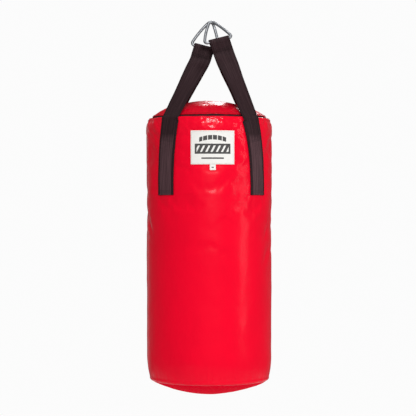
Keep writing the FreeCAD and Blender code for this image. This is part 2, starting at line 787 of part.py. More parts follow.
def make_ring(name, strap):
    """Ring bent from round rod: the rod's section swept round a closed path of tangent arcs."""
    foot_centre, foot_middle, foot_top, limb_middle, apex_side = ring_outline()

    def upright(spot, side=1):
        return Vector(side * spot.x, 0, spot.y)

    corner = [upright(Vector(foot_centre.x, 0, 0), side) for side in (-1, 1)]
    edges = [Part.LineSegment(*corner)]
    edges.append(Part.Arc(corner[1], upright(foot_middle), upright(foot_top)))
    edges.append(Part.Arc(upright(foot_top), upright(limb_middle), upright(apex_side)))
    crown = Vector(0, 0, val("ring_height"))
    edges.append(Part.Arc(upright(apex_side), crown, upright(apex_side, -1)))
    edges.append(Part.Arc(upright(apex_side, -1), upright(limb_middle, -1), upright(foot_top, -1)))
    edges.append(Part.Arc(upright(foot_top, -1), upright(foot_middle, -1), corner[0]))
    path = Part.Wire([edge.toShape() for edge in edges])
    section = Part.Wire(Part.makeCircle(val("rod_radius"), corner[0], Vector(1, 0, 0)))
    shape = path.makePipeShell([section], True, True)
    if shape.Volume < 0:
        shape.reverse()
    part = doc.addObject("Part::Feature", f"ring_{name}")
    part.Shape = shape
    rise = (strap["apex"] - strap["bar"]).normalize()
    part.Placement = Placement(strap["bar"], Rotation(strap["bar_line"], Vector(), rise, "ZXY"))
    keep(part, f"ring_{name}")
    length = path.Length
    print(f"ring_{name}: volume over section x length {shape.Volume / (math.pi * val('rod_radius') ** 2 * length):.4f}")


# ---------------------------------------------------------------- the whole bag


def build():
    make_side_shell()
    make_bottom_panel()
    make_top_lid()
    make_filling()
    make_zip()
    pivot_height = make_slider()
    make_pull(pivot_height)
    make_stops()
    make_labels()
    make_hem_rows()
    make_back_seam()
    for name, strap in STRAPS.items():
        make_strap(name, strap)
        for face in ("front", "back"):
            make_end_stitching(name, strap, face)
        make_loop_stitching(name, strap)
        make_ring(name, strap)
    doc.recompute()


def check():
    """Stops at any object that failed or any sub-part without a valid solid."""
    for item in doc.Objects:
        if "Invalid" in item.State or "Error" in item.State:
            raise RuntimeError(f"{item.Label} is {item.State}")
    for part in nodes:
        shape = part.Shape
        if shape.isNull() or not shape.isValid() or not shape.Solids or shape.Volume <= 0:
            raise RuntimeError(f"{part.Label} has no valid solid")


def export():
    os.makedirs("parts", exist_ok=True)
    for part in nodes:
        part.Shape.exportStep(f"parts/{part.Label}.step")
        print(f"{part.Label}: {len(part.Shape.Solids)} solid(s), {part.Shape.Volume / 1000:.2f} cm3")


build()
check()
export()
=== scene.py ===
import math

import bpy
import numpy as np
from bpy.props import FloatProperty, FloatVectorProperty, IntProperty, PointerProperty
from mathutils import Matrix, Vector, noise


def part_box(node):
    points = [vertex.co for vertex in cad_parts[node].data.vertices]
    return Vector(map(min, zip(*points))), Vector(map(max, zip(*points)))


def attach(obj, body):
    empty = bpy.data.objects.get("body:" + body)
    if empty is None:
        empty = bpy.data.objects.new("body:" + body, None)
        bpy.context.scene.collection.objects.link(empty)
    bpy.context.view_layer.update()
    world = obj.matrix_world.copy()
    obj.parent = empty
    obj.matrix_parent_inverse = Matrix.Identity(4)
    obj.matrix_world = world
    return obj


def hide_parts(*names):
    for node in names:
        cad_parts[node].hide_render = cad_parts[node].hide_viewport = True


bl_info = {
    "name": "Heavy Punching Bag",
    "version": (1, 0, 0),
    "blender": (4, 5, 0),
    "location": "3D View > Sidebar > Punching Bag",
    "description": "Cloth, webbing, stitches and fittings of a filled bag, built over its frame",
    "category": "Object",
}

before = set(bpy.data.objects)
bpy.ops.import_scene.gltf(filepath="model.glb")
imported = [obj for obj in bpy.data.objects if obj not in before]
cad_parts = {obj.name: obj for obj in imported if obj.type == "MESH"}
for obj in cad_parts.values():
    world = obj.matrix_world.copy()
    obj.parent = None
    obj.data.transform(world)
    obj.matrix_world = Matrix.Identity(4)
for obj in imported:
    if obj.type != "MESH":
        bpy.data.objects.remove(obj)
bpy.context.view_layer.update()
SIDE_LOW, SIDE_HIGH = (Vector(corner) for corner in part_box("side_shell"))
LABEL_LOW, LABEL_HIGH = (Vector(corner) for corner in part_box("label_patch"))
BASE_LOW, _ = (Vector(corner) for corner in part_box("bottom_panel"))
_, LID_HIGH = (Vector(corner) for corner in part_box("top_lid"))

# The bag's own shape, in metres. Drops are counted down from the rim.
# Turns are counted in degrees round from the front, and slopes from the crown.
AXIS_X = (SIDE_LOW.x + SIDE_HIGH.x) / 2
RIM_Z = SIDE_HIGH.z
RADIUS = (SIDE_HIGH.x - SIDE_LOW.x) / 2
SEAM_DROP = RIM_Z - SIDE_LOW.z
BASE_DROP = RIM_Z - BASE_LOW.z
DOME_RISE = LID_HIGH.z - RIM_Z
TAPER_DROP = SEAM_DROP - 0.077
SEAM_RADIUS = RADIUS - 0.012
RIM_ROLL = 0.005
CROWN_ROUND = 0.383
CROWN_SLOPE = math.radians(17.0)
SHOULDER_ROUND = 0.115
EDGE_SLOPE = math.radians(43.1)
ZIP_MIDDLE = math.radians(178.0)
ZIP_REACH = math.radians(33.0) * RADIUS
LABEL_TOP = RIM_Z - LABEL_HIGH.z
LABEL_FOOT = RIM_Z - LABEL_LOW.z
STRAP_WIDTH = 0.057
STRAP_WALL = 0.003
STRAP_END = 0.210
STRAP_TOP_ROW = 0.058
STRAP_SWEEP = 2.5
STRAP_DROPS = (STRAP_END, 0.18, 0.15, 0.12, 0.09, STRAP_TOP_ROW, 0.03, 0.015, RIM_ROLL)
LOOP_GAP = 0.0001
SLIP = 0.0003
ROD_RADIUS = 0.004
HEM = 0.004
VINYL_WALL = 0.0008
LABEL_WIDTH = 0.118
LABEL_WALL = 0.0006
TAG_WIDTH = 0.016
TAG_TUCK = 0.002
TAG_HANG = 0.0153
TAG_WALL = 0.0004
SEAM_STRIP_WIDTH = 0.034
SEAM_STRIP_WALL = 0.0012
CHAIN_SLOPE = math.radians(45.8)
CHAIN_DEPTH = 0.0018
CHAIN_ROUND = 0.1625

# How the side's cloth settles over its fill, and how far what is sewn on presses it in.
SEWN_DIP = 0.0004
SETTLE_CAP = 0.0032
SETTLE_FRAMES = 20
FILL_PRESSURE = 4.0
SLACK = -0.014

STRAPS = {
    "left": {
        "side": -1,
        "rim_turn": {"front": 37.5, "back": 40.5},
        "end_turn": {"front": 43.5, "back": 46.5},
        "bar": Vector((-0.017, 0.0045, -0.06597)),
        "bar_line": Vector((0.9717, 0, -0.2361)),
        "slide": -0.002,
        "loop_end": Vector((-0.028, 0.004, -0.095)),
    },
    "right": {
        "side": 1,
        "rim_turn": {"front": 40.0, "back": 43.5},
        "end_turn": {"front": 50.0, "back": 53.0},
        "bar": Vector((0.0205, -0.0465, -0.0505)),
        "bar_line": Vector((0.958, 0.141, 0.252)),
        "slide": 0.002,
        "loop_end": Vector((0.033, -0.038, -0.080)),
    },
}


# ---------------------------------------------------------------- settings


def length(name, text, default):
    return FloatProperty(
        name=name, description=text, default=default, min=0.0, unit="LENGTH", precision=5
    )


def colour(name, text, default):
    shade = (*default, 1.0)
    return FloatVectorProperty(
        name=name, description=text, default=shade, size=4, min=0.0, max=1.0, subtype="COLOR"
    )


class BagClothSettings(bpy.types.PropertyGroup):
    vinyl: colour("Vinyl", "Colour of the coated cloth", (0.78, 0.001, 0.020))
    # Shaded vinyl is both the colour of random soiled patches and painted shade, which covers most
    # of the lid.
    shade: colour("Shaded vinyl", "Colour of the cloth where it is worn", (0.50, 0.0, 0.012))
    dent: length("Dents", "Depth of the broad dents that the fill leaves", 0.0016)
    crumple: length("Crumples", "Depth of the crumples under the rim", 0.0016)
    pucker: length("Puckers", "Depth of the gathers at the two seams", 0.0014)


class BagWebbingSettings(bpy.types.PropertyGroup):
    webbing: colour("Webbing", "Colour of the straps", (0.014, 0.0045, 0.006))
    # Painted sheen: the lighter colour of the webbing's satin streaks.
    sheen_streak: colour("Streaks", "Colour where the yarns catch the light", (0.085, 0.042, 0.049))
    rib: length("Rib pitch", "Width of one lengthwise rib of the webbing", 0.0024)
    thread: length("Thread", "Thickness of the sewing thread", 0.0009)
    stitch: length("Stitch", "Length of one stitch", 0.0042)
    dark_thread: colour("Dark thread", "Colour of the straps' thread", (0.018, 0.008, 0.009))


class BagTrimSettings(bpy.types.PropertyGroup):
    steel: colour("Steel", "Colour of the zinc-plated rings", (0.30, 0.31, 0.33))
    label: colour("Label", "Colour of the label's cloth", (0.74, 0.73, 0.70))
    ink: colour("Ink", "Colour of the label's plain bars", (0.006, 0.005, 0.006))
    tape: colour("Zip tape", "Colour of the tape between lid and side", (0.040, 0.006, 0.009))
    teeth: IntProperty(
        name="Teeth", description="Pairs of teeth in the zip", default=56, min=8, max=200
    )


class BagStageSettings(bpy.types.PropertyGroup):
    backdrop: colour("Backdrop", "Colour of what lies behind the bag", (0.97, 0.97, 0.97))
    floor: colour("Floor colour", "Colour of the round floor", (0.92, 0.92, 0.92))
    floor_drop: length("Floor", "Height of the bag's lowest point above the floor", 0.28)
    key: FloatProperty(
        name="Key light",
        description="What each light's power is counted in, in watts",
        default=20.0,
        min=0.0,
    )
    fill: FloatProperty(
        name="Sky", description="Strength of the even light from all round", default=0.34, min=0.0
    )


# ---------------------------------------------------------------- shader maths


class Shade:
    """A socket that adds Math nodes when it is used in an expression."""

    def __init__(self, nodes, socket):
        self.nodes = nodes
        self.socket = socket

    def math(self, operation, *others):
        values = {0: self, **{i + 1: other for i, other in enumerate(others)}}
        return self.nodes.node("ShaderNodeMath", {"operation": operation}, values)

    def reflected(self, operation, other):
        return self.nodes.node("ShaderNodeMath", {"operation": operation}, {0: other, 1: self})

    def __add__(self, other):
        return self.math("ADD", other)

    __radd__ = __add__

    def __mul__(self, other):
        return self.math("MULTIPLY", other)

    __rmul__ = __mul__

    def __sub__(self, other):
        return self.math("SUBTRACT", other)

    def __rsub__(self, other):
        return self.reflected("SUBTRACT", other)

    def __truediv__(self, other):
        return self.math("DIVIDE", other)

    def __rtruediv__(self, other):
        return self.reflected("DIVIDE", other)

    def __pow__(self, other):
        return self.math("POWER", other)

    def __rpow__(self, other):
        return self.reflected("POWER", other)

    def fraction(self):
        return self.math("FRACT")

    def wave(self):
        return (self * (2 * math.pi)).math("SINE")

    def size(self):
        return self.math("ABSOLUTE")

    def above(self, edge):
        return self.math("GREATER_THAN", edge)

    def below(self, edge):
        return self.math("LESS_THAN", edge)

    def ramp(self, low, high):
        """Rises from 0 at low to 1 at high, and stays between the two."""
        settings = {"operation": "MULTIPLY_ADD", "use_clamp": True}
        scale = 1.0 / (high - low)
        return self.nodes.node("ShaderNodeMath", settings, {0: self, 1: scale, 2: -low * scale})


class Nodes:
    """A node tree and the one way that nodes are added to it."""

    def __init__(self, tree):
        self.tree = tree

    def connect(self, node, values):
        for key, value in values.items():
            socket = node.inputs[key]
            if isinstance(value, Shade):
                self.tree.links.new(value.socket, socket)
            else:
                socket.default_value = value

    def node(self, kind, settings=None, values=None, output=0):
        node = self.tree.nodes.new(kind)
        for key, value in (settings or {}).items():
            setattr(node, key, value)
        self.connect(node, values or {})
        return Shade(self, node.outputs[output])

    def own(self, kind):
        """The node of a type that the tree came with."""
        return next(node for node in self.tree.nodes if node.type == kind)


class Finish(Nodes):
    """A material and the nodes that make its look."""

    def __init__(self, name, **surface):
        self.material = bpy.data.materials.new(name)
        self.material.use_nodes = True
        super().__init__(self.material.node_tree)
        self.surface = self.own("BSDF_PRINCIPLED")
        self.paint(**surface)

    def paint(self, **sockets):
        """Sets the shader's sockets, named with underscores, and gives the material."""
        names = {key: key.replace("_", " ").title().replace("Ior", "IOR") for key in sockets}
        self.connect(self.surface, {names[key]: value for key, value in sockets.items()})
        return self.material

    def place(self):
        return self.node("ShaderNodeTexCoord", output="Object")

    def parts(self, vector):
        """A vector's three parts."""
        first = self.node("ShaderNodeSeparateXYZ", values={0: vector})
        outputs = first.socket.node.outputs
        return first, Shade(self, outputs[1]), Shade(self, outputs[2])

    def cloth_place(self):
        """Across and along the cloth, in metres."""
        across, along, _ = self.parts(self.node("ShaderNodeUVMap", {"uv_map": "Cloth"}))
        return across, along

    def both(self, across, along):
        """Place on the cloth as a vector."""
        return self.node("ShaderNodeCombineXYZ", values={0: across, 1: along})

    def stretched(self, place, scale):
        settings = {"operation": "MULTIPLY"}
        return self.node("ShaderNodeVectorMath", settings, {0: place, 1: scale})

    def noise(self, place, scale, detail=3.0, roughness=0.55):
        values = {"Vector": place, "Scale": scale, "Detail": detail, "Roughness": roughness}
        return self.node("ShaderNodeTexNoise", {"noise_dimensions": "3D"}, values)

    def mix(self, share, first, second):
        """Colour between two colours."""
        values = {"Factor": share, 6: first, 7: second}
        return self.node("ShaderNodeMix", {"data_type": "RGBA"}, values, output=2)

    def bump(self, height, depth, strength=1.0, under=None):
        values = {"Height": height, "Distance": depth, "Strength": strength}
        if under is not None:
            values["Normal"] = under
        return self.node("ShaderNodeBump", values=values)


def toned(shade, share):
    """A colour made darker."""
    return tuple(part * share for part in shade[:3]) + (1.0,)


def made(name, build):
    """The finish of that name, built once."""
    name = f"{name}_finish"
    return bpy.data.materials.get(name) or build(name)


def vinyl_finish(name, shaded=0.0, gloss=0.36, shine=0.04):
    """Coated cloth, glossier where it is gathered at the rim and foot, darker in random soiled
    patches, and darkened by a given share of painted shade, which also dulls it.
    """
    cloth = bpy.context.scene.bag_cloth
    finish = Finish(name, coat_roughness=0.16, coat_ior=1.4, specular_ior_level=shine)
    place = finish.place()
    broad = finish.noise(place, 9.0, 4.0)
    soil = finish.noise(finish.stretched(place, (1.0, 1.0, 0.35)), 26.0, 5.0, 0.6)
    fine = finish.noise(place, 160.0, 3.0)
    weave = finish.noise(place, 1400.0, 1.0)
    # Random soiled patches darken towards the shaded vinyl colour, and the given share adds painted
    # shade on top of them.
    shade = (broad.ramp(0.40, 0.75) * 0.16 + soil.ramp(0.55, 0.8) * 0.10) + shaded
    shown = finish.mix(shade, tuple(cloth.vinyl), tuple(cloth.shade))
    grain = finish.bump(weave, 0.00006, 0.35)
    ripple = finish.bump(fine, 0.0005, 0.22, grain)
    swell = finish.bump(finish.noise(place, 42.0, 4.0, 0.6), 0.0016, 0.34, ripple)
    rough = 0.27 + broad * 0.10 + soil.ramp(0.5, 0.8) * 0.10 + shaded * 0.3
    _, _, level = finish.parts(place)
    at_rim = (level - (RIM_Z - 0.075)).ramp(0.0, 0.04)
    at_foot = (RIM_Z - SEAM_DROP + 0.035 - level).ramp(0.0, 0.03)
    coat = (1 - soil * 0.6) * ((at_rim + at_foot) * 0.55 + 0.45) * gloss
    return finish.paint(base_color=shown, roughness=rough, normal=swell, coat_weight=coat)


def lid_finish(name):
    # Painted shade: the whole lid is mixed most of the way to the shaded vinyl colour, and is made
    # duller.
    return vinyl_finish(name, shaded=0.80, gloss=0.24)


def base_finish(name):
    return vinyl_finish(name, gloss=0.05, shine=0.0)


def webbing_finish(name):
    """Ribbed weave, with a painted satin sheen in lighter streaks that shows most on the sewn ends
    between their hems, and painted highlights on the ribs' crests.
    """
    webbing = bpy.context.scene.bag_webbing
    finish = Finish(name, specular_ior_level=0.16)
    across, along = finish.cloth_place()
    place = finish.place()
    rib = (across / webbing.rib).fraction()
    crest = 1 - ((rib - 0.5).size() * 2) ** 2.0
    lean = ((across / (webbing.rib * 2)).fraction() - 0.5).size()
    pick = (along / 0.0019 + lean * 2.0).wave() * 0.5 + 0.5
    yarns = finish.stretched(finish.both(across, along), (420.0, 9.0, 1.0))
    sheen_streak = finish.noise(yarns, 1.0, 3.0)
    fuzz = finish.noise(place, 900.0, 2.0)
    edge = (across.size() - STRAP_WIDTH * 0.34).ramp(0.0, 0.004)
    _, _, level = finish.parts(place)
    sewn = (RIM_Z - STRAP_TOP_ROW + 0.012 - level).ramp(0.0, 0.02)
    # Painted sheen: lighter streaks along the yarns, strongest on the sewn ends and kept off the
    # band's edges, plus painted highlights where the ribs crest.
    painted_sheen = sheen_streak.ramp(0.42, 0.66) * (0.30 + sewn * 0.8) + sewn * 0.38
    light = painted_sheen * (1 - edge) + crest * pick * 0.16
    shown = finish.mix(light, tuple(webbing.webbing), tuple(webbing.sheen_streak))
    height = crest * 0.7 + pick * 0.5 + fuzz * 0.3
    rough = 0.60 - sheen_streak.ramp(0.45, 0.7) * (0.10 + sewn * 0.16) + fuzz * 0.08
    weave = finish.bump(height, 0.00045, 0.75)
    return finish.paint(base_color=shown, roughness=rough, normal=weave)


def thread_finish(name, shade):
    finish = Finish(name, specular_ior_level=0.3)
    place = finish.place()
    twist = finish.noise(place, 1500.0, 1.0).ramp(0.3, 0.7)
    return finish.paint(
        base_color=finish.mix(twist, toned(shade, 0.55), tuple(shade)),
        roughness=0.55 + twist * 0.15,
        normal=finish.bump(twist, 0.0002, 0.6),
    )


def dark_thread_finish(name):
    return thread_finish(name, tuple(bpy.context.scene.bag_webbing.dark_thread))


def red_thread_finish(name):
    return thread_finish(name, (0.42, 0.004, 0.015, 1.0))


def pale_thread_finish(name):
    return thread_finish(name, (0.72, 0.70, 0.66, 1.0))


def steel_finish(name):
    trim = bpy.context.scene.bag_trim
    finish = Finish(name, metallic=0.7, specular_ior_level=0.5)
    place = finish.place()
    cloudy = finish.noise(place, 120.0, 4.0, 0.6)
    drawn = finish.noise(finish.stretched(place, (900.0, 900.0, 120.0)), 1.0, 2.0)
    shown = finish.mix(cloudy.ramp(0.35, 0.72), tuple(trim.steel), toned(trim.steel, 0.62))
    rough = 0.34 + cloudy.ramp(0.35, 0.75) * 0.14 + drawn * 0.05
    marks = finish.bump(drawn, 0.00012, 0.35)
    return finish.paint(base_color=shown, roughness=rough, normal=marks)


def dark_metal_finish(name):
    finish = Finish(name, metallic=1.0)
    place = finish.place()
    scuff = finish.noise(place, 700.0, 3.0).ramp(0.45, 0.75)
    shown = finish.mix(scuff, (0.10, 0.095, 0.095, 1.0), (0.32, 0.31, 0.30, 1.0))
    marks = finish.bump(scuff, 0.00008, 0.4)
    return finish.paint(base_color=shown, roughness=0.32 + scuff * 0.2, normal=marks)


def tape_finish(name):
    tape = tuple(bpy.context.scene.bag_trim.tape)
    finish = Finish(name, specular_ior_level=0.25)
    place = finish.place()
    yarn = finish.noise(place, 1100.0, 2.0).ramp(0.35, 0.7)
    return finish.paint(
        base_color=finish.mix(yarn, toned(tape, 0.5), tape),
        roughness=0.75 + yarn * 0.1,
        normal=finish.bump(yarn, 0.0003, 0.7),
    )


def tooth_finish(name):
    finish = Finish(name, specular_ior_level=0.5)
    scuff = finish.noise(finish.place(), 800.0, 3.0).ramp(0.4, 0.75)
    shown = finish.mix(scuff, (0.022, 0.013, 0.014, 1.0), (0.06, 0.04, 0.042, 1.0))
    marks = finish.bump(scuff, 0.00006, 0.4)
    return finish.paint(base_color=shown, roughness=0.34 + scuff * 0.25, normal=marks)


def woven_finish(name, pale, dark, pitch=900.0):
    finish = Finish(name, specular_ior_level=0.2)
    place = finish.place()
    aside, ahead, level = finish.parts(place)
    weave = ((aside * pitch).wave() * (ahead * pitch).wave() + (level * pitch).wave()) * 0.25 + 0.5
    speckle = finish.noise(place, 300.0, 3.0)
    shown = finish.mix((weave * 0.6 + speckle * 0.5).ramp(0.2, 0.9), dark, pale)
    yarns = finish.bump(weave, 0.0002, 0.5)
    return finish.paint(base_color=shown, roughness=0.82 + speckle * 0.1, normal=yarns)


def canvas_finish(name):
    return woven_finish(name, (0.66, 0.61, 0.50, 1.0), (0.45, 0.40, 0.31, 1.0))


def foam_finish(name):
    return woven_finish(name, (0.33, 0.34, 0.36, 1.0), (0.20, 0.21, 0.23, 1.0), 350.0)


def scrap_finish(name):
    return woven_finish(name, (0.55, 0.50, 0.47, 1.0), (0.24, 0.26, 0.34, 1.0), 120.0)


# ---------------------------------------------------------------- mesh helpers


def smoothstep(x, low, high):
    t = np.clip((np.asarray(x, float) - low) / (high - low), 0.0, 1.0)
    return t * t * (3 - 2 * t)


def rough_field(spots, scale, seed, octaves=3):
    """Smooth random heights of about -1 to 1 at points, for features of a size, all in metres."""
    shift = Vector((seed * 7.31, seed * 3.17, seed * 5.77))
    flat = np.asarray(spots, float).reshape(-1, 3) / scale
    found = [noise.fractal(Vector(p) + shift, 0.9, 2.1, octaves) for p in flat]
    return np.array(found).reshape(np.asarray(spots).shape[:-1])


def grid_faces(rows, columns, closed, start=0):
    faces = []
    for i in range(rows - 1):
        for j in range(columns if closed else columns - 1):
            a, b = i * columns + j, i * columns + (j + 1) % columns
            faces.append((start + a, start + b, start + b + columns, start + a + columns))
    return faces


def new_piece(name, spots, faces, finish, cloth=None, replaces=(), smooth=True):
    """Mesh object that rides on the bag, with the place on its cloth kept in metres."""
    mesh = bpy.data.meshes.new(name)
    mesh.from_pydata([tuple(p) for p in np.asarray(spots, float).reshape(-1, 3)], [], faces)
    if cloth is not None:
        layer = mesh.uv_layers.new(name="Cloth")
        corner = np.empty(len(mesh.loops), int)
        mesh.loops.foreach_get("vertex_index", corner)
        layer.data.foreach_set("uv", np.asarray(cloth, float).reshape(-1, 2)[corner].ravel())
    mesh.materials.append(finish)
    mesh.polygons.foreach_set("use_smooth", [smooth] * len(mesh.polygons))
    mesh.update()
    if mesh.validate():
        raise RuntimeError(f"{name} has a broken mesh")
    piece = bpy.data.objects.new(name, mesh)
    bpy.context.scene.collection.objects.link(piece)
    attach(piece, "bag")
    if replaces:
        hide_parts(*replaces)
    return piece


def apply_modifiers(piece):
    """Keeps a piece's modified shape as its own mesh."""
    graph = bpy.context.evaluated_depsgraph_get()
    old = piece.data
    piece.data = bpy.data.meshes.new_from_object(piece.evaluated_get(graph))
    piece.modifiers.clear()
    bpy.data.meshes.remove(old)
    return piece


def thicken(piece, wall):
    """Gives a sheet its thickness on the inner side."""
    solid = piece.modifiers.new("wall", "SOLIDIFY")
    solid.thickness = wall
    solid.offset = -1.0
    solid.use_even_offset = False
    return apply_modifiers(piece)


def corners(mesh):
    """A mesh's points as an array."""
    found = np.empty(len(mesh.vertices) * 3)
    mesh.vertices.foreach_get("co", found)
    return found.reshape(-1, 3)


def reshape_mesh(mesh, spots):
    mesh.vertices.foreach_set("co", np.asarray(spots, float).ravel())
    mesh.update()


def settle(piece, held):
    """Lets cloth swell and buckle between the places that hold it, by no more than a cap."""
    scene = bpy.context.scene
    start = corners(piece.data)
    group = piece.vertex_groups.new(name="held")
    for index, weight in enumerate(held):
        if weight > 0.01:
            group.add([index], float(min(weight, 1.0)), "REPLACE")
    cloth = piece.modifiers.new("cloth", "CLOTH")
    pull = cloth.settings
    pull.quality = 5
    pull.mass = 0.25
    pull.tension_stiffness = pull.compression_stiffness = 60.0
    pull.shear_stiffness = 30.0
    pull.bending_stiffness = 0.6
    pull.vertex_group_mass = group.name
    pull.use_pressure = True
    pull.uniform_pressure_force = FILL_PRESSURE
    pull.shrink_min = SLACK
    pull.effector_weights.gravity = 0.0
    cloth.collision_settings.use_collision = False
    cloth.point_cache.frame_start, cloth.point_cache.frame_end = 1, SETTLE_FRAMES
    for number in range(1, SETTLE_FRAMES + 1):
        scene.frame_set(number)
    graph = bpy.context.evaluated_depsgraph_get()
    moved = corners(piece.evaluated_get(graph).data) - start
    piece.modifiers.clear()
    piece.vertex_groups.clear()
    scene.frame_set(1)
    far = np.linalg.norm(moved, axis=1, keepdims=True)
    if not np.isfinite(far).all():
        raise RuntimeError(f"{piece.name} flew apart while it settled")
    reshape_mesh(piece.data, start + moved * np.minimum(1.0, SETTLE_CAP / np.maximum(far, 1e-9)))


def subdivided(piece):
    piece.modifiers.new("finer", "SUBSURF").levels = 1
    return apply_modifiers(piece)


# ---------------------------------------------------------------- the bag's surface


def taper_round():
    """Profile radius of the taper towards the foot."""
    along, across = SEAM_DROP - TAPER_DROP, RADIUS - SEAM_RADIUS
    return (along**2 + across**2) / (2 * across)


def plain_radius(drop):
    """Radius of the side before dents, from the rim's roll to the bottom seam."""
    drop = np.asarray(drop, float)
    into_roll = np.clip(RIM_ROLL - drop, 0.0, RIM_ROLL)
    roll = RIM_ROLL - np.sqrt(np.maximum(RIM_ROLL**2 - into_roll**2, 0.0))
    below = np.clip(drop - TAPER_DROP, 0.0, None)
    taper = taper_round()
    return RADIUS - roll - (taper - np.sqrt(taper**2 - below**2))


def on_bag(turn, drop, radius):
    """Points round the bag's axis. Turn is in radians."""
    turn, drop, radius = np.broadcast_arrays(turn, drop, radius)
    return np.stack([AXIS_X + radius * np.sin(turn), -radius * np.cos(turn), RIM_Z - drop], axis=-1)


def slumped(spots):
    """Where the fill has settled unevenly: the foot is fuller on one side."""
    spots = np.asarray(spots, float)
    turn = np.arctan2(spots[..., 0] - AXIS_X, -spots[..., 1])
    drop = RIM_Z - spots[..., 2]
    side = np.clip(np.sin(turn + 0.25), 0.0, 1.0) ** 2
    reach = np.hypot(spots[..., 0] - AXIS_X, spots[..., 1]) / SEAM_RADIUS
    out = 0.0025 * side * smoothstep(drop, 0.62, 0.70) * smoothstep(reach, 0.5, 1.0)
    return spots + np.stack([out * np.sin(turn), -out * np.cos(turn), 0 * out], axis=-1)


def leg_turns(strap, face):
    """Turns, in degrees, of a leg's middle at its sewn end and at the rim."""
    base, flip = (0.0, 1) if face == "front" else (180.0, -1)
    return [base + flip * strap["side"] * strap[level][face] for level in ("end_turn", "rim_turn")]


def strap_turn(strap, face, drop):
    """Turn, in radians, of the middle of a strap's leg where it lies on the side."""
    end, rim = leg_turns(strap, face)
    share = np.clip(1 - np.asarray(drop, float) / STRAP_END, 0.0, 1.0) ** STRAP_SWEEP
    return np.radians(end + (rim - end) * share)


def turn_gap(turn, middle):
    """Distance round the bag between two turns, in metres."""
    return np.abs((turn - middle + math.pi) % (2 * math.pi) - math.pi) * RADIUS


def strap_cover(turn, drop, margin=0.006):
    """1 under the straps and 0 clear of them."""
    cover = np.zeros(np.broadcast(turn, drop).shape)
    for strap in STRAPS.values():
        for face in ("front", "back"):
            gap = turn_gap(turn, strap_turn(strap, face, drop))
            beside = 1 - smoothstep(gap, STRAP_WIDTH / 2, STRAP_WIDTH / 2 + margin)
            above = 1 - smoothstep(drop, STRAP_END, STRAP_END + margin)
            cover = np.maximum(cover, beside * above)
    return cover


def label_cover(turn, drop):
    """1 under the label and the back seam's strip, and 0 clear of them."""
    middle = math.asin(((LABEL_LOW.x + LABEL_HIGH.x) / 2 - AXIS_X) / RADIUS)
    gap = turn_gap(turn, middle)
    beside = 1 - smoothstep(gap, LABEL_WIDTH / 2 - 0.002, LABEL_WIDTH / 2 + 0.007)
    top, foot = LABEL_TOP, LABEL_FOOT
    level = smoothstep(drop, top - 0.007, top) * (1 - smoothstep(drop, foot, foot + 0.008))
    edge = SEAM_STRIP_WIDTH / 2
    strip = 1 - smoothstep(turn_gap(turn, math.pi), edge, edge + 0.007)
    edge = TAG_WIDTH / 2
    tag = (1 - smoothstep(gap, edge + 0.001, edge + 0.008)) * smoothstep(drop, foot - 0.004, foot)
    tag = tag * (1 - smoothstep(drop, foot + 0.016, foot + 0.024))
    return np.maximum(np.maximum(beside * level, tag), strip)


def side_swell(turn, drop):
    """How far the side stands out from its plain radius, in metres."""
    cloth = bpy.context.scene.bag_cloth
    turn, drop = np.broadcast_arrays(turn, drop)
    plain = on_bag(turn, drop, RADIUS)
    tall = plain * (1.0, 1.0, 0.55)
    dents = rough_field(tall, 0.13, 1, 2) * 0.8 + rough_field(plain, 0.05, 2, 2) * 0.35
    swell = dents * cloth.dent
    near_rim = np.exp(-np.maximum(drop - 0.004, 0) / 0.021)
    creased = np.abs(rough_field(plain * (1.0, 1.0, 0.8), 0.022, 3, 3))
    swell = swell - creased * cloth.crumple * 1.8 * near_rim * smoothstep(drop, 0.001, 0.010)
    gather = rough_field(plain * (1.0, 1.0, 0.12), 0.013, 4, 2)
    swell = swell + gather * cloth.pucker * 0.8 * np.exp(-drop / 0.012)
    below = np.maximum(SEAM_DROP - drop, 0)
    puckers = np.abs(rough_field(plain * (1.0, 1.0, 0.25), 0.017, 5, 2))
    swell = swell + (0.45 - puckers) * cloth.pucker * 2.2 * np.exp(-below / 0.016)
    swell = swell + 0.0020 * np.exp(-(((below - 0.005) / 0.004) ** 2)) * (0.35 + puckers)
    waist = -0.0012 * np.exp(-(((drop - 0.006) / 0.010) ** 2))
    swell = swell + waist + 0.0010 * np.exp(-(((drop - 0.030) / 0.020) ** 2))
    pressed = strap_cover(turn, drop)
    swell = swell * (1 - pressed) - SEWN_DIP * pressed
    under = label_cover(turn, drop)
    return swell * (1 - 0.85 * under) - SEWN_DIP / 2 * under


def strap_pull(turn, drop):
    """Creases that run down from the straps' sewn ends."""
    pull = np.zeros(np.broadcast(turn, drop).shape)
    for number, strap in enumerate(STRAPS.values()):
        for face in ("front", "back"):
            middle = strap_turn(strap, face, STRAP_END)
            for edge in (-1, 1):
                way = edge * (0.020 + 0.05 * (np.asarray(drop) - STRAP_END))
                gap = (turn - middle) * RADIUS - way
                line = np.exp(-((gap / 0.006) ** 2))
                start = smoothstep(drop, STRAP_END - 0.004, STRAP_END + 0.010)
                foot = STRAP_END + 0.075 + 0.01 * number
                fade = start * (1 - smoothstep(drop, STRAP_END + 0.02, foot))
                pull = pull - 0.0007 * line * fade
    return pull


def spaced(stops, steps):
    """Distances from stop to stop with a step for each stretch."""
    found = [stops[0]]
    for low, high, step in zip(stops[:-1], stops[1:], steps):
        count = max(1, round((high - low) / step))
        found += [low + (high - low) * (k + 1) / count for k in range(count)]
    return np.array(found)


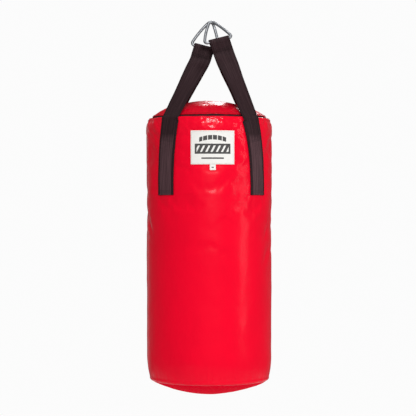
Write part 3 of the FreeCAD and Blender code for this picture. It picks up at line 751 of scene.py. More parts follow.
def make_side_panel():
    """Tube of cloth, turned in at both ends, that settles over the fill before it is dented."""
    columns = 192
    turns = np.linspace(-math.pi, math.pi, columns, endpoint=False)
    stops = [0.0, 0.006, 0.06, TAPER_DROP, SEAM_DROP - 0.03, SEAM_DROP]
    drops = spaced(stops, [0.0015, 0.0045, 0.0085, 0.0055, 0.0045])
    turn, drop = np.meshgrid(turns, drops)
    body = on_bag(turn, drop, plain_radius(drop))
    turned_in = ((0.0105, 0.0042), (0.0095, 0.0012), (0.0075, -0.0002))
    tuck = [on_bag(turns, fall, RADIUS - inset) for inset, fall in turned_in]
    hem = ((0.0012, 0.0012), (0.0035, 0.0010), (0.006, -0.004))
    foot = [on_bag(turns, SEAM_DROP + fall, SEAM_RADIUS - inset) for inset, fall in hem]
    spots = np.concatenate([np.array(tuck), body, np.array(foot)])
    below = SEAM_DROP + np.array([0.002, 0.004, 0.008])
    along = np.concatenate([[-0.012, -0.008, -0.004], drops, below])
    cloth = np.stack(np.meshgrid(turns * RADIUS, along), axis=-1)
    finish = made("vinyl", vinyl_finish)
    faces = [face[::-1] for face in grid_faces(len(spots), columns, True)]
    piece = new_piece("side_cover", spots, faces, finish, cloth, ("side_shell",))
    covered = np.maximum(strap_cover(turn, drop), label_cover(turn, drop))
    at_rim = 1 - smoothstep(drop, 0.003, 0.007)
    at_seam = smoothstep(drop, SEAM_DROP - 0.003, SEAM_DROP)
    firm = np.maximum(covered, np.maximum(at_rim, at_seam))
    hems = np.ones((3, columns))
    held = np.concatenate([hems, firm, hems])
    settle(piece, held.ravel())
    subdivided(piece)
    add_side_dents(piece.data)
    return piece


def add_side_dents(mesh):
    """Adds dents, crumples and puckers to the settled side, and keeps it under what is sewn on."""
    spots = corners(mesh)
    aside, ahead = spots[:, 0] - AXIS_X, -spots[:, 1]
    turn, radius = np.arctan2(aside, ahead), np.hypot(aside, ahead)
    drop = RIM_Z - spots[:, 2]
    known = np.clip(drop, 0.0, SEAM_DROP)
    outside = (drop > 0) & (drop < SEAM_DROP + 0.0005) & (radius > plain_radius(known) - 0.0045)
    swell = side_swell(turn, known) + strap_pull(turn, known)
    plain_front = np.exp(-((turn_gap(turn, 0.0) / 0.10) ** 2) - ((drop - 0.19) / 0.07) ** 2)
    settled = (radius - plain_radius(known)) * (1 - 0.6 * plain_front * (drop > 0))
    covered = np.maximum(strap_cover(turn, known), label_cover(turn, known))
    settled = np.where(outside, settled * (1 - covered), settled)
    calm = np.where(outside, 1.0, 0.5)
    wave = rough_field(on_bag(turn, 0.0, RADIUS), 0.03, 6, 2) * 0.0012
    lift = wave * (1 - smoothstep(drop, 0.0, 0.02)) * (1 - strap_cover(turn, known))
    base = np.where(outside, plain_radius(known), radius - settled)
    out = settled + swell * calm * (1 - 0.6 * plain_front)
    # Dips flatten out before they reach the liner.
    dip = -0.0005 - out
    out = np.where(outside & (dip > 0), -0.0005 - 0.0012 * np.tanh(dip / 0.0012), out)
    reshape_mesh(mesh, slumped(on_bag(turn, drop - lift, base + out)))


# ---------------------------------------------------------------- lid and base


def lid_place(slope, depth=0.0):
    """Radius and height above the rim of the lid's outside at a slope."""
    slope = np.asarray(slope, float)
    crown = np.minimum(slope, CROWN_SLOPE)
    beyond = np.maximum(slope, CROWN_SLOPE)
    radius = CROWN_ROUND * np.sin(crown) + SHOULDER_ROUND * (np.sin(beyond) - math.sin(CROWN_SLOPE))
    fall = SHOULDER_ROUND * (np.cos(beyond) - math.cos(CROWN_SLOPE))
    height = DOME_RISE + CROWN_ROUND * (np.cos(crown) - 1) + fall
    return radius - depth * np.sin(slope), height - depth * np.cos(slope)


def clear_of_zip(turn):
    """0 along the zip, where the slider needs room, and 1 clear of it."""
    return smoothstep(turn_gap(turn, ZIP_MIDDLE), ZIP_REACH, ZIP_REACH + 0.012)


def make_lid():
    """Domed disc, gathered towards its ruffled edge, which stays plain along the zip."""
    cloth_set = bpy.context.scene.bag_cloth
    columns = 360
    turns = np.linspace(-math.pi, math.pi, columns, endpoint=False)
    shoulder = np.linspace(CROWN_SLOPE, EDGE_SLOPE, 26)[1:]
    slopes = np.concatenate([np.linspace(0.004, CROWN_SLOPE, 26), shoulder])
    turn, slope = np.meshgrid(turns, slopes)
    clear = clear_of_zip(turns)
    back = math.radians(0.45) * (1 - clear)
    slope = slope - back * (slope / EDGE_SLOPE) ** 8
    radius, height = lid_place(slope)
    flat = np.stack([radius * np.sin(turn), -radius * np.cos(turn), height * 0], axis=-1)
    near = smoothstep(radius, 0.085, 0.155)
    lumps = rough_field(flat, 0.07, 11, 3) * cloth_set.dent * 1.5 - 0.0012
    rays = rough_field(np.stack([turn * 0.157, 0.3 * radius, 0 * turn], axis=-1), 0.020, 12, 3)
    crease = -np.abs(rays) * cloth_set.pucker * 2.2 * near**2
    crumple = -np.abs(rough_field(flat, 0.028, 13, 3)) * cloth_set.crumple * 0.9 * near
    out = np.maximum(lumps + crease + crumple, -0.0030)
    out = out * (1 - smoothstep(radius, 0.150, 0.1569) * 0.6)
    spots = on_bag(turn, -(height + out * np.cos(slope)), radius + out * np.sin(slope))
    ruffle = rough_field(on_bag(turns, 0.0, RADIUS), 0.030, 14, 2) * 0.0010 * clear
    edge = []
    for depth, more in ((0.0, 0.4), (0.0009, 0.9), (0.0018, 0.4), (0.0023, -1.2)):
        r, h = lid_place(EDGE_SLOPE - back + math.radians(more) * 0.6 * clear, depth)
        edge.append(on_bag(turns, -(h + ruffle + out[-1] * 0.6), r + out[-1] * 0.5))
    crown = np.array([[AXIS_X, 0.0, RIM_Z + DOME_RISE + lumps[0].mean()]])
    flat_spots = np.concatenate([crown, spots.reshape(-1, 3), np.array(edge).reshape(-1, 3)])
    rows = len(slopes) + len(edge)
    faces = grid_faces(rows, columns, True, start=1)
    faces = [face[::-1] for face in faces]
    faces += [(0, 1 + j, 1 + (j + 1) % columns) for j in range(columns)]
    cloth = np.stack([flat_spots[:, 0], flat_spots[:, 1]], axis=-1)
    finish = made("lid_vinyl", lid_finish)
    piece = new_piece("lid_cover", flat_spots, faces, finish, cloth, ("top_lid",))
    return thicken(piece, VINYL_WALL)


def make_base():
    """Dished panel, with lumps in its middle and puckers at its seam that stand out."""
    cloth_set = bpy.context.scene.bag_cloth
    columns = 360
    turns = np.linspace(-math.pi, math.pi, columns, endpoint=False)
    depth = BASE_DROP - SEAM_DROP
    reach = SEAM_RADIUS - 0.0004
    ball = (reach**2 + depth**2) / (2 * depth)
    edge = np.linspace(reach - 0.02, reach, 14)[1:]
    radii = np.concatenate([np.linspace(0.003, reach - 0.02, 34), edge])
    turn, radius = np.meshgrid(turns, radii)
    height = -BASE_DROP + ball - np.sqrt(ball**2 - radius**2)
    flat = np.stack([radius * np.sin(turn), -radius * np.cos(turn), 0 * radius], axis=-1)
    near = np.exp(-(reach - radius) / 0.022)
    fan = np.stack([turn * reach, 0.35 * radius, 0 * turn], axis=-1)
    rays = np.abs(rough_field(fan, 0.016, 21, 3)) - 0.3
    lumps = rough_field(flat, 0.08, 22, 3) * cloth_set.dent * 1.2
    swell = lumps * (1 - near) + rays * cloth_set.pucker * 3.0 * near
    swell = swell + 0.0064 * near * (1 - near)
    swell = np.maximum(swell, -0.0012) * smoothstep(reach - radius, 0.0, 0.003)
    spots = on_bag(turn, swell - height, radius)
    crown = np.array([[AXIS_X, 0.0, RIM_Z - BASE_DROP - float(lumps[0].mean())]])
    tuck = on_bag(turns, SEAM_DROP - 0.004, SEAM_RADIUS - 0.0065)
    flat_spots = slumped(np.concatenate([crown, spots.reshape(-1, 3), tuck.reshape(-1, 3)]))
    faces = grid_faces(len(radii) + 1, columns, True, start=1)
    faces += [(0, 1 + (j + 1) % columns, 1 + j) for j in range(columns)]
    cloth = np.stack([flat_spots[:, 0], flat_spots[:, 1]], axis=-1)
    finish = made("base_vinyl", base_finish)
    piece = new_piece(
        "base_cover", flat_spots, faces, finish, cloth, ("bottom_panel",)
    )
    return thicken(piece, VINYL_WALL)


# ---------------------------------------------------------------- webbing


def side_spot(turn, drop, lift, lean=0.0, roll=0.0):
    """Middle, across and outward on the side, leant in its plane and rolled over the rim."""
    level = Vector((math.sin(turn), -math.cos(turn), 0))
    upright = Vector((0, 0, 1))
    outward = level * math.cos(roll) + upright * math.sin(roll)
    along = upright * math.cos(roll) - level * math.sin(roll)
    across = Vector((math.cos(turn), math.sin(turn), 0)) * math.cos(lean) + along * math.sin(lean)
    middle = Vector((AXIS_X, 0, RIM_Z - drop)) + level * (RADIUS + lift)
    if roll > 0:
        middle = middle + (outward - level) * (RIM_ROLL + lift)
    return middle, across, outward


def blend(first, second, share):
    return (first * (1 - share) + second * share).normalized()


def loop_outward(strap):
    """The way that the front layer of a strap's loop faces."""
    outward = strap["bar_line"].cross(strap["loop_end"] - strap["bar"]).normalized()
    return outward * (-1 if outward.y > 0 else 1)


def leg_frames(strap, face, lift):
    """One leg from its sewn end to the loop: middle, across, outward and sag of its edges."""
    flip = 1 if face == "front" else -1
    loop_out = loop_outward(strap) * flip
    layer = loop_out * (STRAP_WALL / 2 + LOOP_GAP)
    full_sag = STRAP_WIDTH**2 / 8 / RADIUS
    end, rim = leg_turns(strap, face)
    steepest = STRAP_SWEEP * math.radians(rim - end) * RADIUS / STRAP_END

    def on_side(drop, roll=0.0):
        lean = -math.atan(steepest * (1 - drop / STRAP_END) ** (STRAP_SWEEP - 1))
        turn = float(strap_turn(strap, face, drop))
        middle, across, out = side_spot(turn, drop, lift, lean, roll)
        return middle, across * flip, out, full_sag * math.cos(roll)

    frames = [on_side(drop) for drop in STRAP_DROPS]
    # The leg leaves the rim's roll where the straight line to the loop touches it.
    finish = strap["loop_end"] + layer
    roll = 0.7
    for _ in range(4):
        start, across, outward, sag = on_side(RIM_ROLL, roll)
        line = (finish - start).normalized()
        level = Vector((outward.x, outward.y, 0)).normalized()
        roll = math.atan2(-line.dot(level), line.z)
    frames += [on_side(RIM_ROLL, roll * share) for share in (0.25, 0.5, 0.75, 1.0)]
    # From there it runs straight and turns its flat side towards the ring's bar.
    reach_all = (finish - start).length
    for reach in [0.01, 0.025, 0.05] + [reach_all * k for k in (0.4, 0.6, 0.8, 1.0)]:
        share = reach / reach_all
        wide = blend(across, strap["bar_line"], share**2)
        wide = (wide - line * wide.dot(line) * (1 - share)).normalized()
        out = wide.cross(line).normalized() * flip
        frames.append((start + line * reach, wide, out, sag * max(0.0, 1 - reach / 0.070)))
    middle, wide, out, sag = frames.pop()
    frames.append((middle, wide, blend(out, loop_out, 0.5), sag))
    return frames


def loop_frames(strap):
    """Frames over the bar, from the front layer's stitching to the back layer's."""
    bar_line = strap["bar_line"]
    bar = strap["bar"] + bar_line * strap["slide"]
    outward = loop_outward(strap)
    hang = strap["loop_end"] - bar
    skew = hang.dot(bar_line)
    down = (hang - bar_line * skew).normalized()
    drop_all = hang.dot(down)
    skew = skew / drop_all
    reach = ROD_RADIUS + SLIP + STRAP_WALL / 2
    layer = STRAP_WALL / 2 + LOOP_GAP
    tangent = math.asin((reach - layer) / math.hypot(drop_all, reach - layer))
    frames = []

    def spot(drop, out):
        return bar + down * drop + bar_line * (skew * drop) + outward * out

    def between(share):
        drop = drop_all + (reach * math.sin(tangent) - drop_all) * share
        return drop, layer + (reach * math.cos(tangent) - layer) * share

    for share in (0.25, 0.5, 0.75):
        drop, out = between(share)
        frames.append((spot(drop, out), bar_line, outward, 0.0))
    steps = 14
    for i in range(steps + 1):
        angle = -tangent + (math.pi + 2 * tangent) * i / steps
        way = outward * math.cos(angle) - down * math.sin(angle)
        frames.append((spot(-reach * math.sin(angle), reach * math.cos(angle)), bar_line, way, 0.0))
    for share in (0.75, 0.5, 0.25):
        drop, out = between(share)
        frames.append((spot(drop, -out), bar_line, outward * -1, 0.0))
    return frames


def as_table(frames):
    """Frames as one row of ten numbers each."""
    return np.array([[*middle, *across, *outward, sag] for middle, across, outward, sag in frames])


def distances(points):
    """How far along a line each of its points is."""
    steps = np.linalg.norm(np.diff(points, axis=0), axis=1)
    return np.concatenate([[0.0], np.cumsum(steps)])


def resampled(table, step):
    """Rows spaced evenly along the line by a smooth curve through the given rows."""
    table = np.asarray(table)
    ends = np.concatenate([[2 * table[0] - table[1]], table, [2 * table[-1] - table[-2]]])
    found = []
    for i in range(1, len(ends) - 2):
        p0, p1, p2, p3 = ends[i - 1 : i + 3]
        # Each stretch is a cubic whose slopes at its ends come from the rows beside it.
        chord = np.linalg.norm(p2[:3] - p1[:3])
        before = max(np.linalg.norm(p1[:3] - p0[:3]), 1e-6)
        after = max(np.linalg.norm(p3[:3] - p2[:3]), 1e-6)
        m1 = chord * ((p1 - p0) / before * chord + (p2 - p1) / chord * before) / (before + chord)
        m2 = chord * ((p2 - p1) / chord * after + (p3 - p2) / after * chord) / (after + chord)
        count = max(1, math.ceil(chord / step))
        for t in np.arange(count) / count:
            h = (2 * t**3 - 3 * t**2 + 1, t**3 - 2 * t**2 + t, -2 * t**3 + 3 * t**2, t**3 - t**2)
            found.append(h[0] * p1 + h[1] * m1 + h[2] * p2 + h[3] * m2)
    found.append(table[-1])
    found = np.array(found)
    for k in (3, 6):
        found[:, k : k + 3] /= np.linalg.norm(found[:, k : k + 3], axis=1, keepdims=True)
    return found, distances(found[:, :3])


def band_section(width, wall, columns):
    """Closed outline of a flat band with rounded edges, from its outer face round."""
    half = width / 2
    bend = wall * 0.42
    top = [(x, wall / 2) for x in np.linspace(-half + bend, half - bend, columns)]
    bends = [(bend * math.sin(a), bend * math.cos(a)) for a in (0.6, 1.2)]
    right = [(half - bend + x, wall / 2 - bend + h) for x, h in bends]
    right += [(x, -h) for x, h in right[::-1]]
    under = [(x, -wall / 2) for x in np.linspace(half - bend, -half + bend, columns)]
    left = [(-x, -h) for x, h in right]
    return np.array(top + right + under + left)


def make_band(
    name, table, dist, width, wall, finish, slot, replaces=(), seed=0, ripple=0.0003, columns=17
):
    """Flat band that follows frames, with slightly uneven edges and faces."""
    section = band_section(width, wall, columns)
    middle, across, outward, sag = table[:, 0:3], table[:, 3:6], table[:, 6:9], table[:, 9]
    share = section[:, 0] / (width / 2)
    line = np.stack([dist, dist * 0, dist * 0], axis=-1)
    wobble = rough_field(line, 0.035, seed + 31, 2) * 0.0004
    place = np.stack(np.broadcast_arrays(dist[:, None], section[None, :, 0], 0.0), axis=-1)
    face_wave = rough_field(place, 0.030, seed + 32, 2) * ripple
    edge_drop = sag[:, None] * share[None, :] ** 2
    height = section[None, :, 1] - edge_drop + face_wave
    breadth = 1 + 0.004 * np.sin(dist * 61 + seed)
    sideways = section[None, :, 0] * breadth[:, None] + wobble[:, None]
    aside = across[:, None, :] * sideways[..., None]
    spots = middle[:, None, :] + aside + outward[:, None, :] * height[..., None]
    rows, ring = spots.shape[:2]
    faces = grid_faces(rows, ring, True)
    last = (rows - 1) * ring
    faces += [tuple(range(ring))[::-1], tuple(last + k for k in range(ring))]
    cloth = np.stack(np.broadcast_arrays(section[None, :, 0], dist[:, None]), axis=-1)
    return new_piece(name, spots, faces, finish, cloth, replaces)


def make_strap(name, strap):
    lift = SLIP + STRAP_WALL / 2
    front, back = (leg_frames(strap, face, lift) for face in ("front", "back"))
    table, dist = resampled(as_table(front + loop_frames(strap) + back[::-1]), 0.004)
    finish = made("webbing", webbing_finish)
    size = (STRAP_WIDTH, STRAP_WALL)
    seed = 5 if name == "left" else 9
    make_band(f"webbing_{name}", table, dist, *size, finish, "webbing", (f"strap_{name}",), seed)


# ---------------------------------------------------------------- stitches


def stitch_mesh(rows, thread, stitch, gap=0.0007, flat=0.8):
    """Short threads along rows of (points, outward): each bows up and dips in at both ends."""
    spots, faces = [], []
    ring, steps = 6, 5
    for points, outward in rows:
        points, outward = np.asarray(points, float), np.asarray(outward, float)
        dist = distances(points)
        count = max(1, int(dist[-1] / stitch))
        pitch = dist[-1] / count
        for n in range(count):
            low = n * pitch + gap / 2
            here = low + np.linspace(0, 1, steps) * (pitch - gap)
            middle = np.stack([np.interp(here, dist, points[:, k]) for k in range(3)], axis=-1)
            out = np.stack([np.interp(here, dist, outward[:, k]) for k in range(3)], axis=-1)
            out /= np.linalg.norm(out, axis=1, keepdims=True)
            along = middle[-1] - middle[0]
            along = along / np.linalg.norm(along)
            wide = np.cross(along, out)
            wide /= np.linalg.norm(wide, axis=1, keepdims=True)
            bow = np.array([-0.55, 0.10, 0.32, 0.10, -0.55]) * thread
            thick = np.array([0.55, 0.95, 1.0, 0.95, 0.55]) * thread / 2
            start = len(spots)
            for s in range(steps):
                centre = middle[s] + out[s] * bow[s]
                for k in range(ring):
                    a = 2 * math.pi * k / ring
                    way = wide[s] * math.cos(a) + out[s] * math.sin(a) * flat
                    spots.append(centre + way * thick[s])
            faces += grid_faces(steps, ring, True, start)
            faces += [tuple(start + k for k in range(ring))[::-1]]
            faces += [tuple(start + (steps - 1) * ring + k for k in range(ring))]
    return spots, faces


def make_stitches(name, rows, finish, replaces, thread=None, stitch=None):
    webbing = bpy.context.scene.bag_webbing
    spots, faces = stitch_mesh(rows, thread or webbing.thread, stitch or webbing.stitch)
    new_piece(name, spots, faces, finish, replaces=replaces)


def row_on_band(table, offset, height, width=STRAP_WIDTH):
    """Row along a band at an offset from its middle, and its outward direction."""
    across, outward, sag = table[:, 3:6], table[:, 6:9], table[:, 9:10]
    drop = sag * (2 * offset / width) ** 2
    return table[:, :3] + across * offset + outward * (height - drop), outward


def cross_row(row, half, height, width=STRAP_WIDTH):
    """Row across a band at one of its frames."""
    offsets = np.linspace(-half, half, 15)[:, None]
    drop = row[9] * (2 * offsets / width) ** 2
    spots = row[:3] + row[3:6] * offsets + row[6:9] * (height - drop)
    return spots, np.repeat(row[None, 6:9], 15, axis=0)


def make_strap_stitches(name, strap):
    finish = made("dark_thread", dark_thread_finish)
    lift = SLIP + STRAP_WALL / 2
    height = STRAP_WALL / 2 + LOOP_GAP
    half = STRAP_WIDTH / 2 - HEM
    for face in ("front", "back"):
        table, _ = resampled(as_table(leg_frames(strap, face, lift)[:6]), 0.004)
        drops = RIM_Z - table[:, 2]
        inside = table[(drops > STRAP_TOP_ROW) & (drops < STRAP_END - 0.005)]
        rows = [row_on_band(inside, offset, height) for offset in (-half, half)]
        for k in (0, 1, len(inside) - 2, len(inside) - 1):
            rows.append(cross_row(inside[k], half, height))
        node = f"stitching_{name}_{face}"
        make_stitches(f"end_stitches_{name}_{face}", rows, finish, (node,))
    out = loop_outward(strap)
    bar = strap["bar"] + strap["bar_line"] * strap["slide"]
    hang = (strap["loop_end"] - bar).normalized()
    rows = []
    for side in (1, -1):
        for rise in (0.002, 0.005, 0.009):
            face_out = STRAP_WALL + 0.0003 + rise * 0.17
            middle = strap["loop_end"] - hang * rise + out * side * face_out
            row = np.array([*middle, *strap["bar_line"], *(out * side), 0.0])
            rows.append(cross_row(row, half, 0.0))
    make_stitches(f"loop_stitches_{name}", rows, finish, (f"loop_stitching_{name}",))


def leant_out(turns, rise):
    """Ways out of the bag all round, leant up by an angle."""
    level = math.cos(rise)
    parts = [np.sin(turns) * level, -np.cos(turns) * level, 0 * turns + math.sin(rise)]
    return np.stack(parts, axis=-1)


def make_hems():
    turns = np.linspace(-math.pi, math.pi, 721)
    rows = {}
    slope = EDGE_SLOPE - HEM / SHOULDER_ROUND
    radius, height = lid_place(slope)
    spots = on_bag(turns, -(height - 0.0004), radius - 0.0004)
    rows["lid_hem", "lid_stitching"] = (spots, leant_out(turns, math.pi / 2 - slope))
    bend = math.radians(80)
    reach = RIM_ROLL + SLIP
    level, up = reach * math.cos(bend), reach * math.sin(bend)
    spots = on_bag(turns, RIM_ROLL - up, RADIUS - RIM_ROLL + level)
    rows["rim_hem", "rim_stitching"] = (spots, leant_out(turns, bend))
    finish = made("red_thread", red_thread_finish)
    for (name, node), row in rows.items():
        make_stitches(name, [row], finish, (node,))


# ---------------------------------------------------------------- label, tag and back seam


def side_table(turns, drops, lift):
    """Places on the side with its dents, and the way out of it."""
    turn, drop = np.broadcast_arrays(turns, drops)
    radius = plain_radius(drop) + side_swell(turn, drop) + lift
    out = np.stack([np.sin(turn), -np.cos(turn), 0 * turn], axis=-1)
    return on_bag(turn, drop, radius), out


def sewn_patch(name, turns, drops, lift, finish, wall, node):
    """Sheet of cloth on the side, over a grid of turns and drops."""
    place, _ = side_table(turns, drops, lift)
    middle = (turns.min() + turns.max()) / 2
    cloth = np.stack([(turns - middle) * RADIUS, drops - LABEL_TOP], axis=-1)
    faces = [face[::-1] for face in grid_faces(*turns.shape, False)]
    return thicken(new_piece(name, place, faces, finish, cloth, (node,)), wall)


def make_label():
    middle = math.asin(((LABEL_LOW.x + LABEL_HIGH.x) / 2 - AXIS_X) / (RADIUS + 0.001))
    half = LABEL_WIDTH / 2 / RADIUS
    turns, drops = np.meshgrid(
        np.linspace(-half, half, 61), np.linspace(LABEL_TOP, LABEL_FOOT, 47)
    )
    level = (drops - LABEL_TOP) / (LABEL_FOOT - LABEL_TOP) * 2 - 1
    edge = np.maximum(np.abs(turns / half), np.abs(level))
    ripple = rough_field(np.stack([turns * RADIUS, drops, 0 * drops], -1), 0.016, 41, 2)
    lift = 0.0009 + 0.00035 * ripple * (1 - edge**6) + 0.0003 * smoothstep(edge, 0.965, 1.0)
    finish = made("label_cloth", label_finish)
    turns = turns + middle
    label = sewn_patch("label_panel", turns, drops, lift, finish, LABEL_WALL, "label_patch")

    inset = HEM * 0.75
    span = half - inset / RADIUS
    low, high = LABEL_TOP + inset, LABEL_FOOT - inset
    level = middle + np.linspace(-span, span, 41)
    upright = np.linspace(low, high, 31)
    rows = [side_table(level, drop, 0.0012) for drop in (low, high)]
    rows += [side_table(middle + side * span, upright, 0.0012) for side in (-1, 1)]
    finish = made("pale_thread", pale_thread_finish)
    make_stitches(
        "label_stitches", rows, finish, ("label_stitching",), 0.0007, 0.003
    )

    half = TAG_WIDTH / 2 / RADIUS
    foot = LABEL_FOOT + TAG_HANG
    turns, drops = np.meshgrid(
        np.linspace(-half, half, 13), np.linspace(LABEL_FOOT - TAG_TUCK, foot, 15)
    )
    lift = 0.0006 + 0.0008 * smoothstep(drops, LABEL_FOOT + 0.004, foot)
    finish = made("tag_cloth", tag_finish)
    tag = sewn_patch("size_tag", turns + middle, drops, lift, finish, TAG_WALL, "size_tab")


def box_mask(across, along, low, high, half):
    """1 inside a rectangle of the label, between two drops."""
    return across.size().below(half) * along.above(low) * along.below(high)


def cloth_print(finish, mask, ground, ink):
    place = finish.place()
    yarn = finish.noise(place, 1500.0, 1.0)
    soft = finish.noise(place, 90.0, 3.0)
    printed = finish.mix(mask * (0.94 - yarn * 0.06), ground, ink)
    soiled = soft.ramp(0.5, 0.8) * 0.35 * (1 - mask)
    shown = finish.mix(soiled, printed, toned(ground, 0.86))
    yarns = finish.bump(yarn + mask * 0.4, 0.00012, 0.5)
    return finish.paint(base_color=shown, roughness=0.52 + soft * 0.12, normal=yarns)


def label_finish(name):
    """Plain bars: a bowed row of blocks, a broad striped one and a thin one."""
    trim = bpy.context.scene.bag_trim
    finish = Finish(name, specular_ior_level=0.05)
    across, along = finish.cloth_place()
    bow = along - across * across * 5.0
    blocks = ((across + 0.0515) / 0.0130).fraction().below(0.84)
    arch = box_mask(across, bow, 0.012, 0.024, 0.036) * blocks
    stripe = ((across + along * 0.5) / 0.014).fraction().below(0.62)
    hollow = box_mask(across, along, 0.040, 0.057, 0.043) * (1 - stripe)
    broad = box_mask(across, along, 0.035, 0.062, 0.048) * (1 - hollow)
    thin = box_mask(across, along, 0.0715, 0.0755, 0.030)
    return cloth_print(finish, arch + broad + thin, tuple(trim.label), tuple(trim.ink))


def tag_finish(name):
    trim = bpy.context.scene.bag_trim
    finish = Finish(name, specular_ior_level=0.05)
    across, along = finish.cloth_place()
    down = along - (LABEL_FOOT - LABEL_TOP)
    mask = box_mask(across, down, 0.0065, 0.0095, 0.003)
    return cloth_print(finish, mask, tuple(trim.label), tuple(trim.ink))


def make_back_seam():
    drops = spaced([0.010, TAPER_DROP, SEAM_DROP - 0.002], [0.006, 0.004])
    frames = []
    for drop in drops:
        lift = float(plain_radius(drop)) - RADIUS + SLIP + 0.0008
        sag = (SEAM_STRIP_WIDTH / 2) ** 2 / 2 / RADIUS
        frames.append((*side_spot(math.pi, drop, lift), sag))
    table = as_table(frames)
    dist = distances(table[:, :3])
    finish = made("vinyl", vinyl_finish)
    size = (SEAM_STRIP_WIDTH, SEAM_STRIP_WALL)
    node = ("back_seam_strip",)
    make_band("seam_strip", table, dist, *size, finish, "red_vinyl", node, 13, 0.00025, 9)
    offset = SEAM_STRIP_WIDTH / 2 - HEM
    rows = [row_on_band(table, side * offset, 0.0007, SEAM_STRIP_WIDTH) for side in (-1, 1)]
    finish = made("red_thread", red_thread_finish)
    make_stitches("seam_stitches", rows, finish, ("back_seam_stitching",))


# ---------------------------------------------------------------- zip


def make_teeth():
    """Two rows of moulded teeth that hook into each other, along the chain's arc."""
    trim = bpy.context.scene.bag_trim
    low, high = (Vector(corner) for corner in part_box("zip_chain"))
    half = math.asin((high.x - low.x) / 2 / CHAIN_ROUND)
    centre = math.pi - math.asin(((high.x + low.x) / 2 - AXIS_X) / CHAIN_ROUND)
    radius, height = lid_place(CHAIN_SLOPE, CHAIN_DEPTH)
    profile = [(-0.0030, -0.0006), (-0.0006, -0.0007), (0.0002, -0.0011), (0.0011, -0.0008)]
    profile += [(x, -y) for x, y in profile[::-1]]
    spots, faces = [], []
    count = trim.teeth * 2
    for n in range(count):
        turn = centre - half + 2 * half * (n + 0.5) / count
        side = 1 if n % 2 else -1
        level = Vector((math.sin(turn), -math.cos(turn), 0))
        out = level * math.sin(CHAIN_SLOPE) + Vector((0, 0, math.cos(CHAIN_SLOPE)))
        up = level * -math.cos(CHAIN_SLOPE) + Vector((0, 0, math.sin(CHAIN_SLOPE)))
        along = Vector((math.cos(turn), math.sin(turn), 0))
        middle = Vector((AXIS_X, 0, RIM_Z + float(height))) + level * float(radius)
        start, ring = len(spots), len(profile)
        for lift, grow in ((-0.0009, 0.92), (0.0006, 1.0), (0.0010, 0.72)):
            for x, y in profile:
                spots.append(middle + up * (x * grow * side) + along * (y * grow) + out * lift)
        tooth = grid_faces(3, ring, True, start)
        tooth.append(tuple(start + k for k in range(ring))[::-1])
        tooth.append(tuple(start + 2 * ring + k for k in range(ring)))
        faces += [face[::-1] for face in tooth] if side > 0 else tooth
    finish = made("zip_teeth", tooth_finish)
    new_piece("zip_teeth", spots, faces, finish, None, ("zip_chain",), smooth=False)


# ---------------------------------------------------------------- operators


class BAG_OT_side(bpy.types.Operator):
    """Make the dented vinyl side with its crumpled rim"""

    bl_idname = "punching_bag.side"
    bl_label = "Side cover"
    bl_options = {"REGISTER", "UNDO"}

    def execute(self, context):
        make_side_panel()
        return {"FINISHED"}


class BAG_OT_lid(bpy.types.Operator):
    """Make the domed lid with its gathered edge"""

    bl_idname = "punching_bag.lid"
    bl_label = "Lid"
    bl_options = {"REGISTER", "UNDO"}

    def execute(self, context):
        make_lid()
        return {"FINISHED"}


class BAG_OT_base(bpy.types.Operator):
    """Make the bottom panel, puckered at its seam"""

    bl_idname = "punching_bag.base"
    bl_label = "Base"
    bl_options = {"REGISTER", "UNDO"}

    def execute(self, context):
        make_base()
        return {"FINISHED"}


class BAG_OT_straps(bpy.types.Operator):
    """Make the two webbing straps, looped over their rings"""

    bl_idname = "punching_bag.straps"
    bl_label = "Straps"
    bl_options = {"REGISTER", "UNDO"}

    def execute(self, context):
        for name, strap in STRAPS.items():
            make_strap(name, strap)
        return {"FINISHED"}


class BAG_OT_stitches(bpy.types.Operator):
    """Sew the straps, the lid's edge and the rim"""

    bl_idname = "punching_bag.stitches"
    bl_label = "Stitches"
    bl_options = {"REGISTER", "UNDO"}

    def execute(self, context):
        for name, strap in STRAPS.items():
            make_strap_stitches(name, strap)
        make_hems()
        return {"FINISHED"}


class BAG_OT_label(bpy.types.Operator):
    """Make the plain label and its size tag"""

    bl_idname = "punching_bag.label"
    bl_label = "Label"
    bl_options = {"REGISTER", "UNDO"}

    def execute(self, context):
        make_label()
        return {"FINISHED"}


class BAG_OT_back_seam(bpy.types.Operator):
    """Make the strip that covers the upright seam at the back"""

    bl_idname = "punching_bag.back_seam"
    bl_label = "Back seam"
    bl_options = {"REGISTER", "UNDO"}

    def execute(self, context):
        make_back_seam()
        return {"FINISHED"}


class BAG_OT_zip(bpy.types.Operator):
    """Make the zip's teeth"""

    bl_idname = "punching_bag.zip"
    bl_label = "Zip"
    bl_options = {"REGISTER", "UNDO"}

    def execute(self, context):
        make_teeth()
        return {"FINISHED"}


class BAG_OT_fittings(bpy.types.Operator):
    """Give the rings, the slider, the tape and the inner layers their finishes"""

    bl_idname = "punching_bag.fittings"
    bl_label = "Fittings"
    bl_options = {"REGISTER", "UNDO"}

    def execute(self, context):
        finishes = {
            "ring_left": ("steel", steel_finish),
            "ring_right": ("steel", steel_finish),
            "zip_slider": ("dark_metal", dark_metal_finish),
            "zip_pull": ("dark_metal", dark_metal_finish),
            "zip_stops": ("dark_metal", dark_metal_finish),
            "zip_tape": ("zip_tape", tape_finish),
            "canvas_liner": ("canvas", canvas_finish),
            "foam_wrap": ("foam", foam_finish),
            "fill_core": ("scraps", scrap_finish),
        }
        for node, (name, build) in finishes.items():
            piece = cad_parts[node]
            finish = made(name, build)
            for slot in piece.material_slots:
                slot.material = finish
        return {"FINISHED"}


class BAG_OT_stage(bpy.types.Operator):
    """Set the backdrop, the lights and the camera"""

    bl_idname = "punching_bag.stage"
    bl_label = "Stage"
    bl_options = {"REGISTER", "UNDO"}

    def execute(self, context):
        make_floor()
        make_lights()
        make_world()
        make_camera()
        return {"FINISHED"}


# ---------------------------------------------------------------- stage


